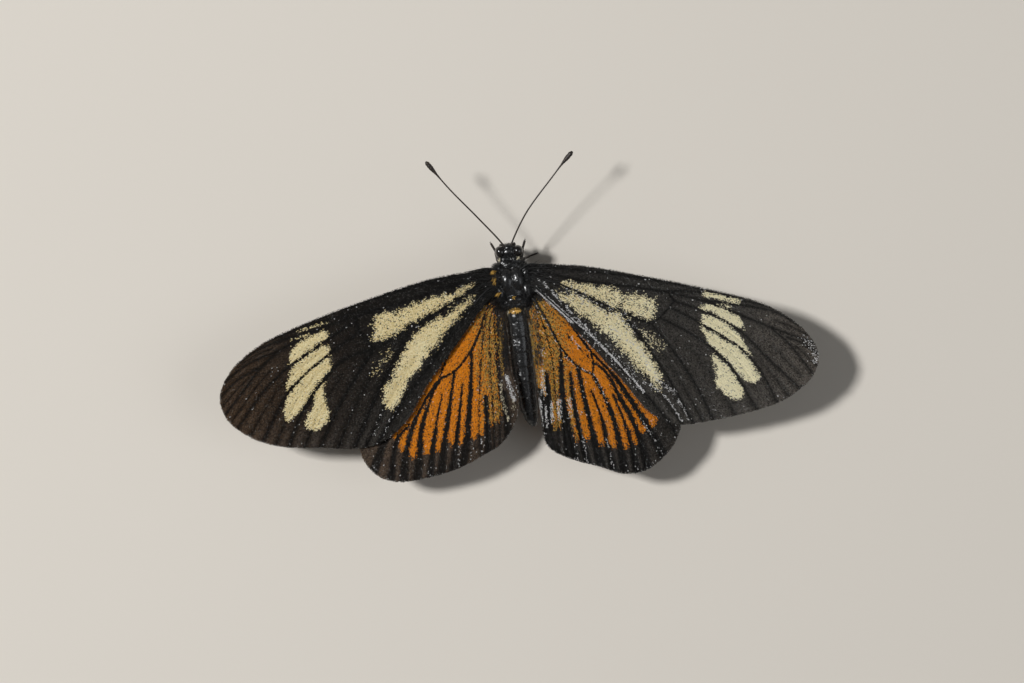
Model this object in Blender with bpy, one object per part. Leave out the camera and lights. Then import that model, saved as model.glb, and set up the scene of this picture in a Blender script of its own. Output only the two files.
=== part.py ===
"""A black butterfly with yellow and orange bands, life size, standing with its wings spread flat.

Metres, +Z up, +Y towards the head, +X to the right for a viewer who looks down with its head away from them.
Sizes below are in millimetres from the middle of the thorax in plan, and from the floor in height.
"""

import math
from dataclasses import dataclass

import bmesh
import bpy
import numpy as np
from mathutils import Vector
from mathutils.geometry import delaunay_2d_cdt

MM = 0.001
GAP = 0.3

# Wings
FOREWING_HEIGHT = 4.9
HINDWING_HEIGHT = 3.95
FOREWING_ROOT = (1.3, -1.2)
HINDWING_ROOT = (-0.4, -1.8)
WING_THICKNESS = 0.5
WING_LIFT = 0.8
HALF_SPAN = 27.0
VEIN_RIDGE = 0.15
VEIN_HALF_WIDTH = 0.22
OUTLINE_STEP = 1.1
VEIN_STEP = 1.3

# How finely shapes are cut
ROOT_POINTS = 5
FORK_REACH = 0.5
TOO_NEAR = 0.16
TINY = 0.01
CDT_INSIDE = 1
RING_SIDES = 20
THORAX_ROWS = 14
HEAD_ROWS = 12
EYE_SIDES = 16
EYE_ROWS = 10
TONGUE_SIDES = 20
LEG_SIDES = 8
LEG_STEP = 0.6
ANTENNA_STEP = 0.7

# Body
SIDE_NAMES = {-1: "left", 1: "right"}
ABDOMEN_SEGMENTS = 8
ABDOMEN_RINGS = 32
GROOVE_DEPTH = 0.06
GROOVE_SHARPNESS = 4


@dataclass
class Bulb:
    """A rounded body: an ellipsoid at power 2, and boxier above it."""

    centre: tuple
    half: tuple
    power: float = 2.0

    def reach(self, direction):
        ratios = (abs(d / h) ** self.power for d, h in zip(direction, self.half))
        return sum(ratios) ** (-1 / self.power)

    def point(self, direction, beyond=0.0):
        """Where a ray from the centre leaves the surface, moved out along the ray by this much."""
        ray = Vector(direction).normalized()
        return Vector(self.centre) + ray * (self.reach(ray) + beyond)

    def half_width(self, y, z):
        """Half its width along X at this place on its side."""
        _, yc, zc = self.centre
        _, hy, hz = self.half
        left = 1 - abs((y - yc) / hy) ** self.power - abs((z - zc) / hz) ** self.power
        return self.half[0] * max(left, 0) ** (1 / self.power)


THORAX = Bulb(centre=(0, 0, 3.9), half=(1.45, 2.05, 1.6), power=2.5)
HEAD = Bulb(centre=(0.1, 3.0, 3.9), half=(1.0, 0.67, 0.8))
EYE_HALF = (0.46, 0.5, 0.6)
EYE_OUT = 0.76
EYE_HEIGHT = 4.05
EYE_FLAT = 0.5

# Each wing's edge, from its root along the front, round the tip and back along the rear edge.
FOREWING_EDGE = {
    "left": [
        (-3.6, 1.8), (-7.3, 1.6), (-12.9, 0.6), (-18.5, -0.7), (-23.2, -2.2), (-26.0, -4.0), (-27.2, -5.6),
        (-27.6, -6.8), (-27.1, -8.8), (-25.1, -10.7), (-22.7, -11.8), (-19.2, -12.4), (-15.8, -12.9),
        (-14.1, -12.8), (-12.5, -12.2), (-10.7, -10.8), (-8.6, -8.0), (-5.4, -4.7), (-2.6, -1.7),
    ],
    "right": [
        (2.7, 1.6), (6.3, 1.0), (11.5, -0.6), (16.7, -2.4), (21.9, -4.5), (24.4, -6.3), (25.8, -7.9),
        (26.5, -9.6), (26.4, -10.7), (25.5, -12.1), (22.9, -13.7), (19.6, -14.4), (15.9, -14.7),
        (13.4, -14.7), (11.9, -14.1), (10.5, -13.2), (8.4, -10.0), (5.4, -5.7), (2.4, -1.8),
    ],
}
HINDWING_EDGE = {
    "left": [
        (-4.0, -0.9), (-8.0, -3.6), (-11.6, -6.7), (-14.5, -9.9), (-15.7, -12.0), (-15.7, -13.1),
        (-15.3, -14.4), (-14.1, -15.8), (-12.4, -16.4), (-10.2, -16.4), (-7.0, -15.9), (-4.3, -14.9),
        (-3.0, -14.3), (-1.9, -13.3), (-1.0, -11.8), (-0.7, -10.7), (-0.7, -9.1), (-1.3, -7.8),
        (-1.4, -4.9), (-1.3, -2.8),
    ],
    "right": [
        (3.4, -0.9), (7.2, -4.3), (10.4, -8.3), (12.7, -11.8), (13.4, -14.7), (13.1, -15.4), (12.2, -16.7),
        (10.0, -18.2), (7.7, -18.4), (5.6, -17.5), (2.6, -16.2), (1.0, -14.9), (0.8, -13.8), (0.9, -11.6),
        (1.1, -8.4), (1.3, -4.8), (1.3, -2.8),
    ],
}

# The main veins, each from where it leaves the root or another vein to near the wing's edge.
FOREWING_VEINS = {
    "left": {
        "subcosta": [(-2.1, 1.2), (-5.5, 1.2), (-10.1, 0.8), (-15.7, -0.2), (-19.8, -1.2)],
        "radius": [(-2.1, 0.8), (-5.6, 0.6), (-9.2, -0.2), (-13.1, -0.8), (-17.7, -1.7), (-21.5, -3.1)],
        "radius_1": [(-12.0, -0.6), (-14.8, -0.7), (-17.6, -1.1), (-21.5, -1.9)],
        "radius_3": [(-21.5, -3.1), (-24.4, -3.9), (-26.7, -5.3)],
        "radius_5": [(-21.5, -3.1), (-23.4, -4.5), (-25.2, -6.3), (-26.7, -7.7)],
        "cell_end": [(-14.1, -1.0), (-14.3, -1.6), (-14.0, -2.5), (-13.0, -4.0)],
        "media_1": [(-14.3, -1.4), (-16.9, -2.6), (-20.1, -4.4), (-23.3, -6.5), (-26.0, -8.8)],
        "media_2": [(-14.1, -2.4), (-17.1, -4.1), (-20.1, -6.0), (-23.1, -8.7), (-24.9, -10.4)],
        "media_3": [(-13.0, -4.0), (-16.3, -4.7), (-18.2, -6.3), (-20.4, -8.6), (-22.8, -11.3)],
        "cubitus": [(-2.1, 0.4), (-5.1, -0.7), (-8.7, -2.4), (-13.0, -4.0)],
        "cubitus_1": [(-13.0, -4.0), (-15.5, -7.0), (-17.3, -9.4), (-18.9, -12.0)],
        "cubitus_2": [(-9.7, -2.8), (-10.9, -4.7), (-13.1, -7.8), (-15.8, -12.4)],
        "anal": [(-2.1, -0.1), (-5.2, -2.9), (-8.3, -6.2), (-11.0, -9.0), (-13.6, -12.2)],
    },
    "right": {
        "subcosta": [(1.9, 1.2), (6.2, 0.4), (11.4, -1.0), (15.8, -2.4), (19.5, -3.8)],
        "radius": [(1.9, 0.8), (6.1, -0.5), (11.3, -1.9), (16.5, -3.7), (22.3, -6.9)],
        "radius_1": [(12.5, -2.3), (16.6, -3.0), (20.1, -4.2), (22.1, -4.9)],
        "radius_3": [(22.3, -6.9), (24.4, -8.0), (25.8, -8.7)],
        "radius_5": [(22.3, -6.9), (24.0, -8.9), (25.4, -11.4)],
        "cell_end": [(13.7, -2.8), (14.0, -3.4), (13.5, -4.0), (11.8, -5.2)],
        "media_1": [(14.0, -3.4), (16.4, -4.6), (19.4, -6.7), (22.0, -10.0), (24.0, -12.5)],
        "media_2": [(13.6, -3.9), (16.4, -6.0), (19.5, -8.8), (21.9, -13.0)],
        "media_3": [(12.6, -4.7), (15.4, -6.7), (17.8, -9.1), (20.2, -13.9)],
        "cubitus": [(1.9, 0.4), (5.1, -1.1), (8.4, -3.3), (11.8, -5.2)],
        "cubitus_1": [(11.8, -5.2), (13.4, -7.8), (15.0, -11.1), (16.1, -14.3)],
        "cubitus_2": [(9.4, -4.0), (10.7, -6.3), (12.3, -9.4), (14.3, -14.2)],
        "anal": [(1.9, -0.1), (4.0, -2.6), (7.1, -6.5), (10.2, -10.5), (12.0, -13.6)],
    },
}
HINDWING_VEINS = {
    "left": {
        "radial": [(-2.4, -1.2), (-4.2, -2.5), (-8.6, -4.8), (-12.5, -9.0), (-14.8, -11.9)],
        "media_1": [(-4.2, -2.5), (-6.1, -4.7), (-9.4, -7.3), (-12.1, -10.7), (-14.4, -14.6)],
        "cell_end": [(-6.1, -4.7), (-7.0, -6.3), (-7.6, -7.5)],
        "cubitus": [(-2.3, -1.7), (-3.4, -3.7), (-4.4, -5.3), (-6.2, -7.0), (-7.6, -7.5)],
        "media_2": [(-7.6, -7.5), (-9.4, -9.6), (-11.1, -12.7), (-11.5, -13.8), (-12.1, -15.9)],
        "media_3": [(-7.6, -7.5), (-8.3, -8.6), (-9.8, -11.8), (-10.3, -13.7), (-10.9, -16.0)],
        "cubitus_1": [(-6.2, -7.0), (-7.0, -9.6), (-7.9, -13.1), (-8.6, -15.8)],
        "cubitus_2": [(-4.4, -5.3), (-4.7, -7.4), (-5.5, -11.4), (-6.7, -15.4)],
        "anal_1": [(-2.2, -1.8), (-3.1, -3.9), (-4.1, -8.5), (-4.8, -14.6)],
        "anal_2": [(-1.9, -2.6), (-2.9, -6.7), (-3.2, -10.7), (-3.6, -14.3)],
    },
    "right": {
        "radial": [(2.1, -1.1), (6.4, -4.9), (9.3, -9.2), (12.0, -13.9)],
        "media_1": [(3.7, -2.5), (6.1, -6.8), (7.8, -9.2), (9.6, -12.8), (11.3, -17.0)],
        "cell_end": [(6.1, -6.9), (6.2, -7.9), (6.0, -8.9)],
        "media_2": [(6.2, -7.9), (7.2, -9.1), (8.5, -12.3), (9.5, -15.7), (9.8, -17.8)],
        "media_3": [(6.0, -8.9), (6.7, -10.8), (7.3, -13.0), (7.7, -18.0)],
        "cubitus": [(1.8, -1.6), (2.6, -3.8), (3.5, -6.2), (4.8, -8.1), (6.0, -8.9)],
        "cubitus_1": [(4.8, -8.1), (4.9, -10.0), (5.3, -13.8), (5.7, -17.1)],
        "cubitus_2": [(3.5, -6.2), (3.1, -10.5), (3.3, -13.8), (3.6, -16.3)],
        "anal_1": [(1.7, -2.2), (2.5, -5.9), (2.5, -9.9), (2.3, -15.6)],
    },
}

# Where the abdomen's axis runs, and its half-width there.
ABDOMEN_AXIS = [
    (0, -2.35, 3.6), (0, -5.4, 3.0), (-0.05, -9.0, 2.35), (0.02, -11.6, 2.05), (0.3, -13.12, 1.95),
]
ABDOMEN_RADIUS = [(0, 0.72), (0.1, 0.9), (0.3, 1.0), (0.6, 0.96), (0.85, 0.82), (0.95, 0.62), (1, 0.3)]

# Feelers and legs: where each leaves the head or thorax as a direction, then its bends, then its tip.
ANTENNAE = {
    "left": [(-0.42, 0.6, 0.5), (-2.2, 6.2, 5.6), (-4.4, 9.1, 6.4), (-5.6, 10.9, 6.8), (-6.28, 11.96, 7.0)],
    "right": [(0.42, 0.6, 0.5), (2.1, 6.2, 5.6), (4.9, 9.1, 6.4), (6.0, 10.2, 6.8), (6.96, 11.1, 7.0)],
}
ANTENNA_RADIUS = [(0, 0.25), (0.75, 0.25), (0.9, 0.29), (0.97, 0.25), (1, 0.12)]
LEGS = {
    "foreleg_left": [(-0.5, 0.75, -0.5), (-1.25, 2.3, 2.85), (-1.2, 3.2, 2.85), (-1.47, 4.0, 2.95)],
    "foreleg_right": [(0.5, 0.75, -0.5), (1.3, 2.5, 2.85), (1.35, 3.2, 2.85), (1.59, 3.84, 2.95)],
    "midleg_left": [
        (-0.6, 0.25, -0.9), (-3.0, 0.5, 3.1), (-4.6, 1.0, 0.8), (-5.0, 1.1, 0.15), (-6.4, 1.3, 0.12),
    ],
    "midleg_right": [
        (0.5, 0.45, -0.9), (1.35, 2.2, 1.9), (1.8, 2.38, 0.7), (2.0, 2.43, 0.15), (2.6, 2.54, 0.12),
    ],
    "hindleg_left": [
        (-0.45, -0.5, -0.8), (-3.2, -4.0, 3.1), (-4.5, -7.6, 0.8), (-4.8, -8.4, 0.15), (-5.6, -11.2, 0.12),
    ],
    "hindleg_right": [
        (0.45, -0.5, -0.8), (3.2, -4.0, 3.1), (4.5, -7.6, 0.8), (4.8, -8.4, 0.15), (5.6, -11.2, 0.12),
    ],
}
LEG_RADIUS = [(0, 0.3), (0.3, 0.28), (0.7, 0.25), (0.97, 0.25), (1, 0.2)]
FORELEG_RADIUS = [(0, 0.25), (0.8, 0.25), (1, 0.15)]
PALPS = {
    "left": [(-0.5, 0.35, -0.8), (-0.62, 3.55, 2.95), (-0.62, 3.75, 3.2)],
    "right": [(0.5, 0.35, -0.8), (0.66, 3.55, 2.95), (0.66, 3.75, 3.2)],
}
PALP_RADIUS = [(0, 0.22), (0.7, 0.22), (1, 0.12)]
TONGUE_CENTRE = (0.02, 3.3, 2.45)
TONGUE_RADIUS = 0.42
TONGUE_WIDTH = 0.3

BLACK = ((0.012, 0.011, 0.010), 0.35)
WING_BROWN = ((0.030, 0.026, 0.022), 0.55)
ORANGE = ((0.55, 0.19, 0.03), 0.6)
EYE_BLACK = ((0.008, 0.006, 0.006), 0.12)


def clear_scene():
    for thing in list(bpy.data.objects):
        bpy.data.objects.remove(thing, do_unlink=True)


def material(name, look):
    colour, roughness = look
    made = bpy.data.materials.new(name)
    made.use_nodes = True
    shader = made.node_tree.nodes["Principled BSDF"]
    shader.inputs["Base Color"].default_value = (*colour, 1)
    shader.inputs["Roughness"].default_value = roughness
    shader.inputs["Metallic"].default_value = 0
    return made


def finish(mesh_edit, name, look, root, sharp=35):
    """Turns an edit mesh in millimetres into a named object with its own material, on the root empty."""
    bmesh.ops.recalc_face_normals(mesh_edit, faces=mesh_edit.faces)
    bmesh.ops.triangulate(mesh_edit, faces=mesh_edit.faces)
    if mesh_edit.calc_volume(signed=True) < 0:
        bmesh.ops.reverse_faces(mesh_edit, faces=mesh_edit.faces)
    bmesh.ops.scale(mesh_edit, vec=(MM, MM, MM), verts=mesh_edit.verts)
    mesh = bpy.data.meshes.new(name)
    mesh_edit.to_mesh(mesh)
    mesh_edit.free()
    mesh.shade_smooth()
    mesh.set_sharp_from_angle(angle=math.radians(sharp))
    made = bpy.data.objects.new(name, mesh)
    made.data.materials.append(material(name, look))
    made.parent = root
    bpy.context.scene.collection.objects.link(made)
    return made


def smooth_line(points, step):
    """Points about one step apart on a smooth curve through these."""
    knots = np.array(points, float)
    padded = np.vstack([2 * knots[0] - knots[1], knots, 2 * knots[-1] - knots[-2]])
    line = [knots[0]]
    for four in zip(padded, padded[1:], padded[2:], padded[3:]):
        spans = [np.linalg.norm(b - a) ** 0.5 for a, b in zip(four, four[1:])]
        times = np.cumsum([0, *spans])
        parts = max(1, round(float(np.linalg.norm(four[2] - four[1])) / step))
        for i in range(1, parts + 1):
            line.append(catmull_rom(four, times, times[1] + (times[2] - times[1]) * i / parts))
    return np.array(line)


def catmull_rom(knots, times, t):
    """The point at t on the curve through the middle two of four knots."""

    def between(a, b, i, j):
        return ((times[j] - t) * a + (t - times[i]) * b) / (times[j] - times[i])

    first, second, third = (between(knots[i], knots[i + 1], i, i + 1) for i in range(3))
    return between(between(first, second, 0, 2), between(second, third, 1, 3), 1, 2)


def along(line):
    """How far along a line each of its points lies, from 0 to 1."""
    lengths = np.cumsum([0, *np.linalg.norm(np.diff(line, axis=0), axis=1)])
    return lengths / lengths[-1]


def radius_at(stations, share):
    shares, radii = zip(*stations)
    return float(np.interp(share, shares, radii))


def tube(name, look, root, points, stations, sides, step, floor=None):
    """A round limb through these points. With a floor, what would pass below it is a flat on it."""
    line = smooth_line(points, step)
    edit = bmesh.new()
    rings = []
    across = Vector((0, 0, 1))
    for i, (centre, share) in enumerate(zip(line, along(line))):
        ahead = Vector(line[min(i + 1, len(line) - 1)] - line[max(i - 1, 0)]).normalized()
        across = (across - across.dot(ahead) * ahead).normalized()
        beside = ahead.cross(across)
        radius = radius_at(stations, share)
        ring = []
        for k in range(sides):
            turn = math.tau * (k + 0.5) / sides
            place = Vector(centre) + radius * (math.cos(turn) * across + math.sin(turn) * beside)
            if floor is not None:
                place.z = max(place.z, floor)
            ring.append(edit.verts.new(place))
        rings.append(ring)
    for one, other in zip(rings, rings[1:]):
        for k in range(sides):
            following = (k + 1) % sides
            edit.faces.new((one[k], one[following], other[following], other[k]))
    edit.faces.new(reversed(rings[0]))
    edit.faces.new(rings[-1])
    return finish(edit, name, look, root)


def bulb(name, look, root, shape, rows, sides):
    """A closed skin over a rounded body, its poles on the Y axis."""
    edit = bmesh.new()
    bmesh.ops.create_uvsphere(edit, u_segments=sides, v_segments=rows, radius=1)
    for vert in edit.verts:
        x, y, z = vert.co
        vert.co = shape.point((x, -z, y))
    return finish(edit, name, look, root)


def eye(name, look, root, side, spread=0.0):
    """An eye, flat where it faces the head. Spread moves its skin out, for the socket that it sits in."""
    shape = Bulb((HEAD.centre[0] + side * EYE_OUT, 2.95, EYE_HEIGHT), tuple(h + spread for h in EYE_HALF))
    flat = HEAD.centre[0] + side * (EYE_FLAT - spread)
    edit = bmesh.new()
    bmesh.ops.create_uvsphere(edit, u_segments=EYE_SIDES, v_segments=EYE_ROWS, radius=1)
    for vert in edit.verts:
        x, y, z = vert.co
        vert.co = shape.point((z, x, y))
        if side * vert.co.x < side * flat:
            vert.co.x = flat
    return finish(edit, name, look, root)


def socket(head, side, root):
    """Cuts an eye's socket out of the head, with the gap all round."""
    cutter = eye("socket_" + SIDE_NAMES[side], BLACK, root, side, spread=GAP)
    cutter.hide_render = True
    cutter.display_type = "WIRE"
    cut = head.modifiers.new("socket", "BOOLEAN")
    cut.operation = "DIFFERENCE"
    cut.object = cutter


def abdomen(root):
    """A long body of ringed segments that droops a little to its tip."""
    stations = []
    for i in range(ABDOMEN_RINGS + 1):
        share = i / ABDOMEN_RINGS
        ring = math.cos(math.pi * share * ABDOMEN_SEGMENTS) ** GROOVE_SHARPNESS
        stations.append((share, radius_at(ABDOMEN_RADIUS, share) * (1 - GROOVE_DEPTH * ring)))
    length = ABDOMEN_AXIS[0][1] - ABDOMEN_AXIS[-1][1]
    return tube("abdomen", BLACK, root, ABDOMEN_AXIS, stations, RING_SIDES, length / ABDOMEN_RINGS)


def wing_middle(height, x, y):
    """The height of a wing's middle: it rises a little from the root and levels out towards the tip."""
    out = min(abs(x) / HALF_SPAN, 1)
    return height + WING_LIFT * out * (2 - out)


def wing_root(side, height, ends):
    """The root's edge, one gap out from the thorax, from rear to front."""
    front, rear = ends
    places = np.linspace(rear, front, ROOT_POINTS)
    return [(side * (THORAX.half_width(y, height) + GAP), float(y)) for y in places]


def vein_lines(veins):
    """Each vein as a smooth line, its ends moved onto the nearest point of the veins before it."""
    lines = []
    for points in veins.values():
        line = smooth_line(points, VEIN_STEP)
        for end in (0, -1):
            near = [p for other in lines for p in other if np.linalg.norm(p - line[end]) < FORK_REACH]
            if near:
                line[end] = min(near, key=lambda p: np.linalg.norm(p - line[end]))
        lines.append(line)
    return lines


def beside(line):
    """Points at the foot of a vein's ridge, on both sides of it."""
    ahead = np.gradient(line, axis=0)
    across = np.stack([-ahead[:, 1], ahead[:, 0]], axis=1)
    across *= VEIN_HALF_WIDTH / np.linalg.norm(across, axis=1, keepdims=True)
    return np.vstack([line + across, line - across])


def distance_to(points, line):
    """How far each point lies from a line of straight pieces."""
    start, run = line[:-1], np.diff(line, axis=0)
    share = ((points[:, None] - start) * run).sum(axis=2) / (run**2).sum(axis=1)
    nearest = start + np.clip(share, 0, 1)[..., None] * run
    return np.linalg.norm(points[:, None] - nearest, axis=2).min(axis=1)


def wing(name, look, root, side, height, ends, edge, veins):
    """A thin membrane of even thickness, with its veins raised as ridges on the upper face."""
    rim = [*wing_root(side, height, ends), *smooth_line(edge, OUTLINE_STEP)]
    rim = np.array([rim[0], *(b for a, b in zip(rim, rim[1:]) if math.dist(a, b) > TOO_NEAR)])
    lines = vein_lines(veins)
    points = [tuple(p) for p in rim]
    links = []
    for line in lines:
        last = None
        for place in line:
            here = next((i for i, p in enumerate(points) if math.dist(p, place) < TINY), len(points))
            if here == len(points):
                points.append(tuple(place))
            if last is not None:
                links.append((last, here))
            last = here
    rim_line = np.vstack([rim, rim[:1]])
    for place in np.vstack([beside(line) for line in lines]):
        clear_of_points = all(math.dist(p, place) > TOO_NEAR for p in points)
        if clear_of_points and distance_to(place[None], rim_line)[0] > TOO_NEAR:
            points.append(tuple(place))
    flat, _, faces, *_ = delaunay_2d_cdt(
        [Vector(p) for p in points], links, [list(range(len(rim)))], CDT_INSIDE, TINY
    )
    plan = np.array([tuple(p) for p in flat])
    nearest = np.min([distance_to(plan, line) for line in lines], axis=0)
    ridge = VEIN_RIDGE * np.clip(1 - nearest / VEIN_HALF_WIDTH, 0, 1)
    edit = bmesh.new()
    upper, lower = [], []
    for (x, y), rise in zip(plan, ridge):
        middle = wing_middle(height, x, y)
        upper.append(edit.verts.new((x, y, middle + WING_THICKNESS / 2 + rise)))
        lower.append(edit.verts.new((x, y, middle - WING_THICKNESS / 2)))
    borders = set()
    for face in faces:
        edit.faces.new([upper[i] for i in face])
        edit.faces.new([lower[i] for i in reversed(face)])
        for pair in zip(face, [*face[1:], face[0]]):
            if pair[::-1] in borders:
                borders.remove(pair[::-1])
            else:
                borders.add(pair)
    for i, j in sorted(borders):
        edit.faces.new((upper[j], upper[i], lower[i], lower[j]))
    return finish(edit, name, look, root)


def limb(name, look, root, base, route, stations, sides, step, floor=None):
    """A limb that starts one gap out from the bulb that carries it."""
    start = base.point(route[0], beyond=GAP)
    return tube(name, look, root, [tuple(start), *route[1:]], stations, sides, step, floor)


def tongue(root):
    """The coiled tongue, as one thick round disc under the head."""
    edit = bmesh.new()
    bmesh.ops.create_cone(
        edit, cap_ends=True, segments=TONGUE_SIDES, depth=TONGUE_WIDTH,
        radius1=TONGUE_RADIUS, radius2=TONGUE_RADIUS,
    )
    for vert in edit.verts:
        x, y, z = vert.co
        vert.co = Vector(TONGUE_CENTRE) + Vector((z, x, y))
    return finish(edit, "tongue", BLACK, root)


def stand_at_origin(root):
    """Moves everything so that the middle of its base is at the origin."""
    bpy.context.view_layer.update()
    corners = [
        made.matrix_world @ vert.co
        for made in root.children
        if not made.hide_render
        for vert in made.data.vertices
    ]
    low, high = np.min(corners, axis=0), np.max(corners, axis=0)
    root.location = -Vector(((low[0] + high[0]) / 2, (low[1] + high[1]) / 2, low[2]))


def main():
    clear_scene()
    root = bpy.data.objects.new("butterfly", None)
    bpy.context.scene.collection.objects.link(root)
    bulb("thorax", BLACK, root, THORAX, THORAX_ROWS, RING_SIDES)
    abdomen(root)
    head = bulb("head", BLACK, root, HEAD, HEAD_ROWS, RING_SIDES)
    tongue(root)
    for side, word in SIDE_NAMES.items():
        eye("eye_" + word, EYE_BLACK, root, side)
        socket(head, side, root)
        limb("antenna_" + word, BLACK, root, HEAD, ANTENNAE[word], ANTENNA_RADIUS, LEG_SIDES, ANTENNA_STEP)
        limb("palp_" + word, BLACK, root, HEAD, PALPS[word], PALP_RADIUS, LEG_SIDES, LEG_STEP)
        wing(
            "forewing_" + word, WING_BROWN, root, side, FOREWING_HEIGHT, FOREWING_ROOT,
            FOREWING_EDGE[word], FOREWING_VEINS[word],
        )
        wing(
            "hindwing_" + word, ORANGE, root, side, HINDWING_HEIGHT, HINDWING_ROOT,
            HINDWING_EDGE[word], HINDWING_VEINS[word],
        )
    for name, route in LEGS.items():
        stations = FORELEG_RADIUS if name.startswith("foreleg") else LEG_RADIUS
        limb(name, BLACK, root, THORAX, route, stations, LEG_SIDES, LEG_STEP, floor=0)
    stand_at_origin(root)


main()
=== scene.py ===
"""The looks of a black butterfly with straw and orange bands: scaled wings, hairy body, feelers and legs.

Sizes are in millimetres: in plan from the middle of the thorax, +Y to the head, in height from the floor.
Each piece is shaped in millimetres and brought to metres, at its place in the frame, by settle().
"""

import math

import bpy
import numpy as np
from mathutils import Matrix, Vector
from mathutils.bvhtree import BVHTree
from mathutils.geometry import delaunay_2d_cdt
from mathutils.kdtree import KDTree


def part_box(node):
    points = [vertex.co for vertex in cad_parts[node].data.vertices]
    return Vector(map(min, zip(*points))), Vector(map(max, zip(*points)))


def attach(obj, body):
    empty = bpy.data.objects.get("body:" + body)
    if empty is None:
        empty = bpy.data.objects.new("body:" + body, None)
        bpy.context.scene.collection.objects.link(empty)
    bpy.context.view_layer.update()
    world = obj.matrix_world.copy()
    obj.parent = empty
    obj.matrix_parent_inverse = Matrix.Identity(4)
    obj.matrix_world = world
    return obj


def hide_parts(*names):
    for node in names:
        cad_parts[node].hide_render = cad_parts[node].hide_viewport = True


MM = 0.001
BODY = "root"
SIDES = {"left": -1, "right": 1}

# Camera, as the photograph looks down on the wings
VIEW_CENTRE = (-0.74, -5.12)
VIEW_UP = (0.1347, 0.9909)
VIEW_WIDTH = 92.2
VIEW_LEVEL = 5.2
CAMERA_DISTANCE = 420.0
SENSOR = 36.0

# Wings: height at the root and its gain to the tip, the skin's inset and thickness, and the mesh's steps
HALF_SPAN = 27.0
LEVEL = {"forewing": 4.72, "hindwing": 4.33}
WING_LIFT = 0.8
RIM_INSET = 0.24
MEMBRANE = 0.05
RIM_STEP = 0.12
LINE_STEP = 0.13
LINE_ROWS = (0.0, 0.07, -0.07, 0.16, -0.16)
GRID_STEP = 0.19
NEAREST = 0.05
CDT_INSIDE = 1
CDT_TOLERANCE = 1e-4
TRACE_STEP = 0.03
RAY_FROM = 50.0

# Relief of a wing: veins, stronger at the root, pleats between them, stronger at the edge, and a slow sway.
# A hindwing dips beside the body.
VEIN_RISE = 0.05
VEIN_HALF_WIDTH = 0.08
ROOT_VEIN_GAIN = 2.5
ROOT_FADE = 3.0
PLEAT_RISE = 0.03
EDGE_PLEAT_RISE = 0.15
EDGE_FADE = 4.5
LEAST_GAP = 0.02
SWAY = 0.06
SWAY_WAVES = (0.8, 0.7)
INNER_DIP = 0.3
INNER_DIP_REACH = (0.8, 1.8)

# Bare veins at the wing's root: how near it they start, how far they run, and their half-width on the way
ROOT_VEIN_START = 2.6
ROOT_VEIN_REACH = {"forewing": 3.6, "hindwing": 0.0, ("forewing_right", "anal"): 9.5,
                   ("forewing_right", "cubitus"): 5.0, ("hindwing_right", "cubitus"): 6.0}
ROOT_VEIN_RADIUS = [(0, 0.1), (0.3, 0.08), (0.8, 0.045), (1, 0.02)]

# Wing scales, which fan out from WING_ROOT: distance, size, how they lie, and the few that stand up
WING_ROOT = (0.0, 0.6)
SCALE_STEP = 0.074
SCALE_LENGTH = 0.2
SCALE_WIDTH = 0.1
SCALE_LIFT = 0.028
SCALE_CROWN = 0.01
SCALE_ROLL = 0.15
SCALE_JITTER = 0.16
SCALE_TURN = 0.14
RAISED_SHARE = 0.012
RAISED_LIFT = 3.0
MOST_SCALES = 45000

# Fringe along the wing's edge, which starts this far from the body's middle
FRINGE_FROM = 3.2
FRINGE_STEP = 0.06
FRINGE_LENGTH = 0.2
FRINGE_INSET = 0.04
FRINGE_DROP = 0.02
FRINGE_SPREAD = 0.25

# The coats' UV maps: the size of a scale's or hair's patch, the map's empty edge, and each patch's points
BAKE_PATCH = 0.003
BAKE_EDGE = 0.01
SCALE_PATCH = np.array([(0, -0.5), (0.5, 0.5), (-0.5, 0.5), (0, 0.2)])
HAIR_PATCH = np.array([
    (-0.5, -0.5), (0.5, -0.5), (0.0, -0.5), (-0.4, 0.0), (0.4, 0.0), (0.0, 0.1), (0.0, 0.5),
])

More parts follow.
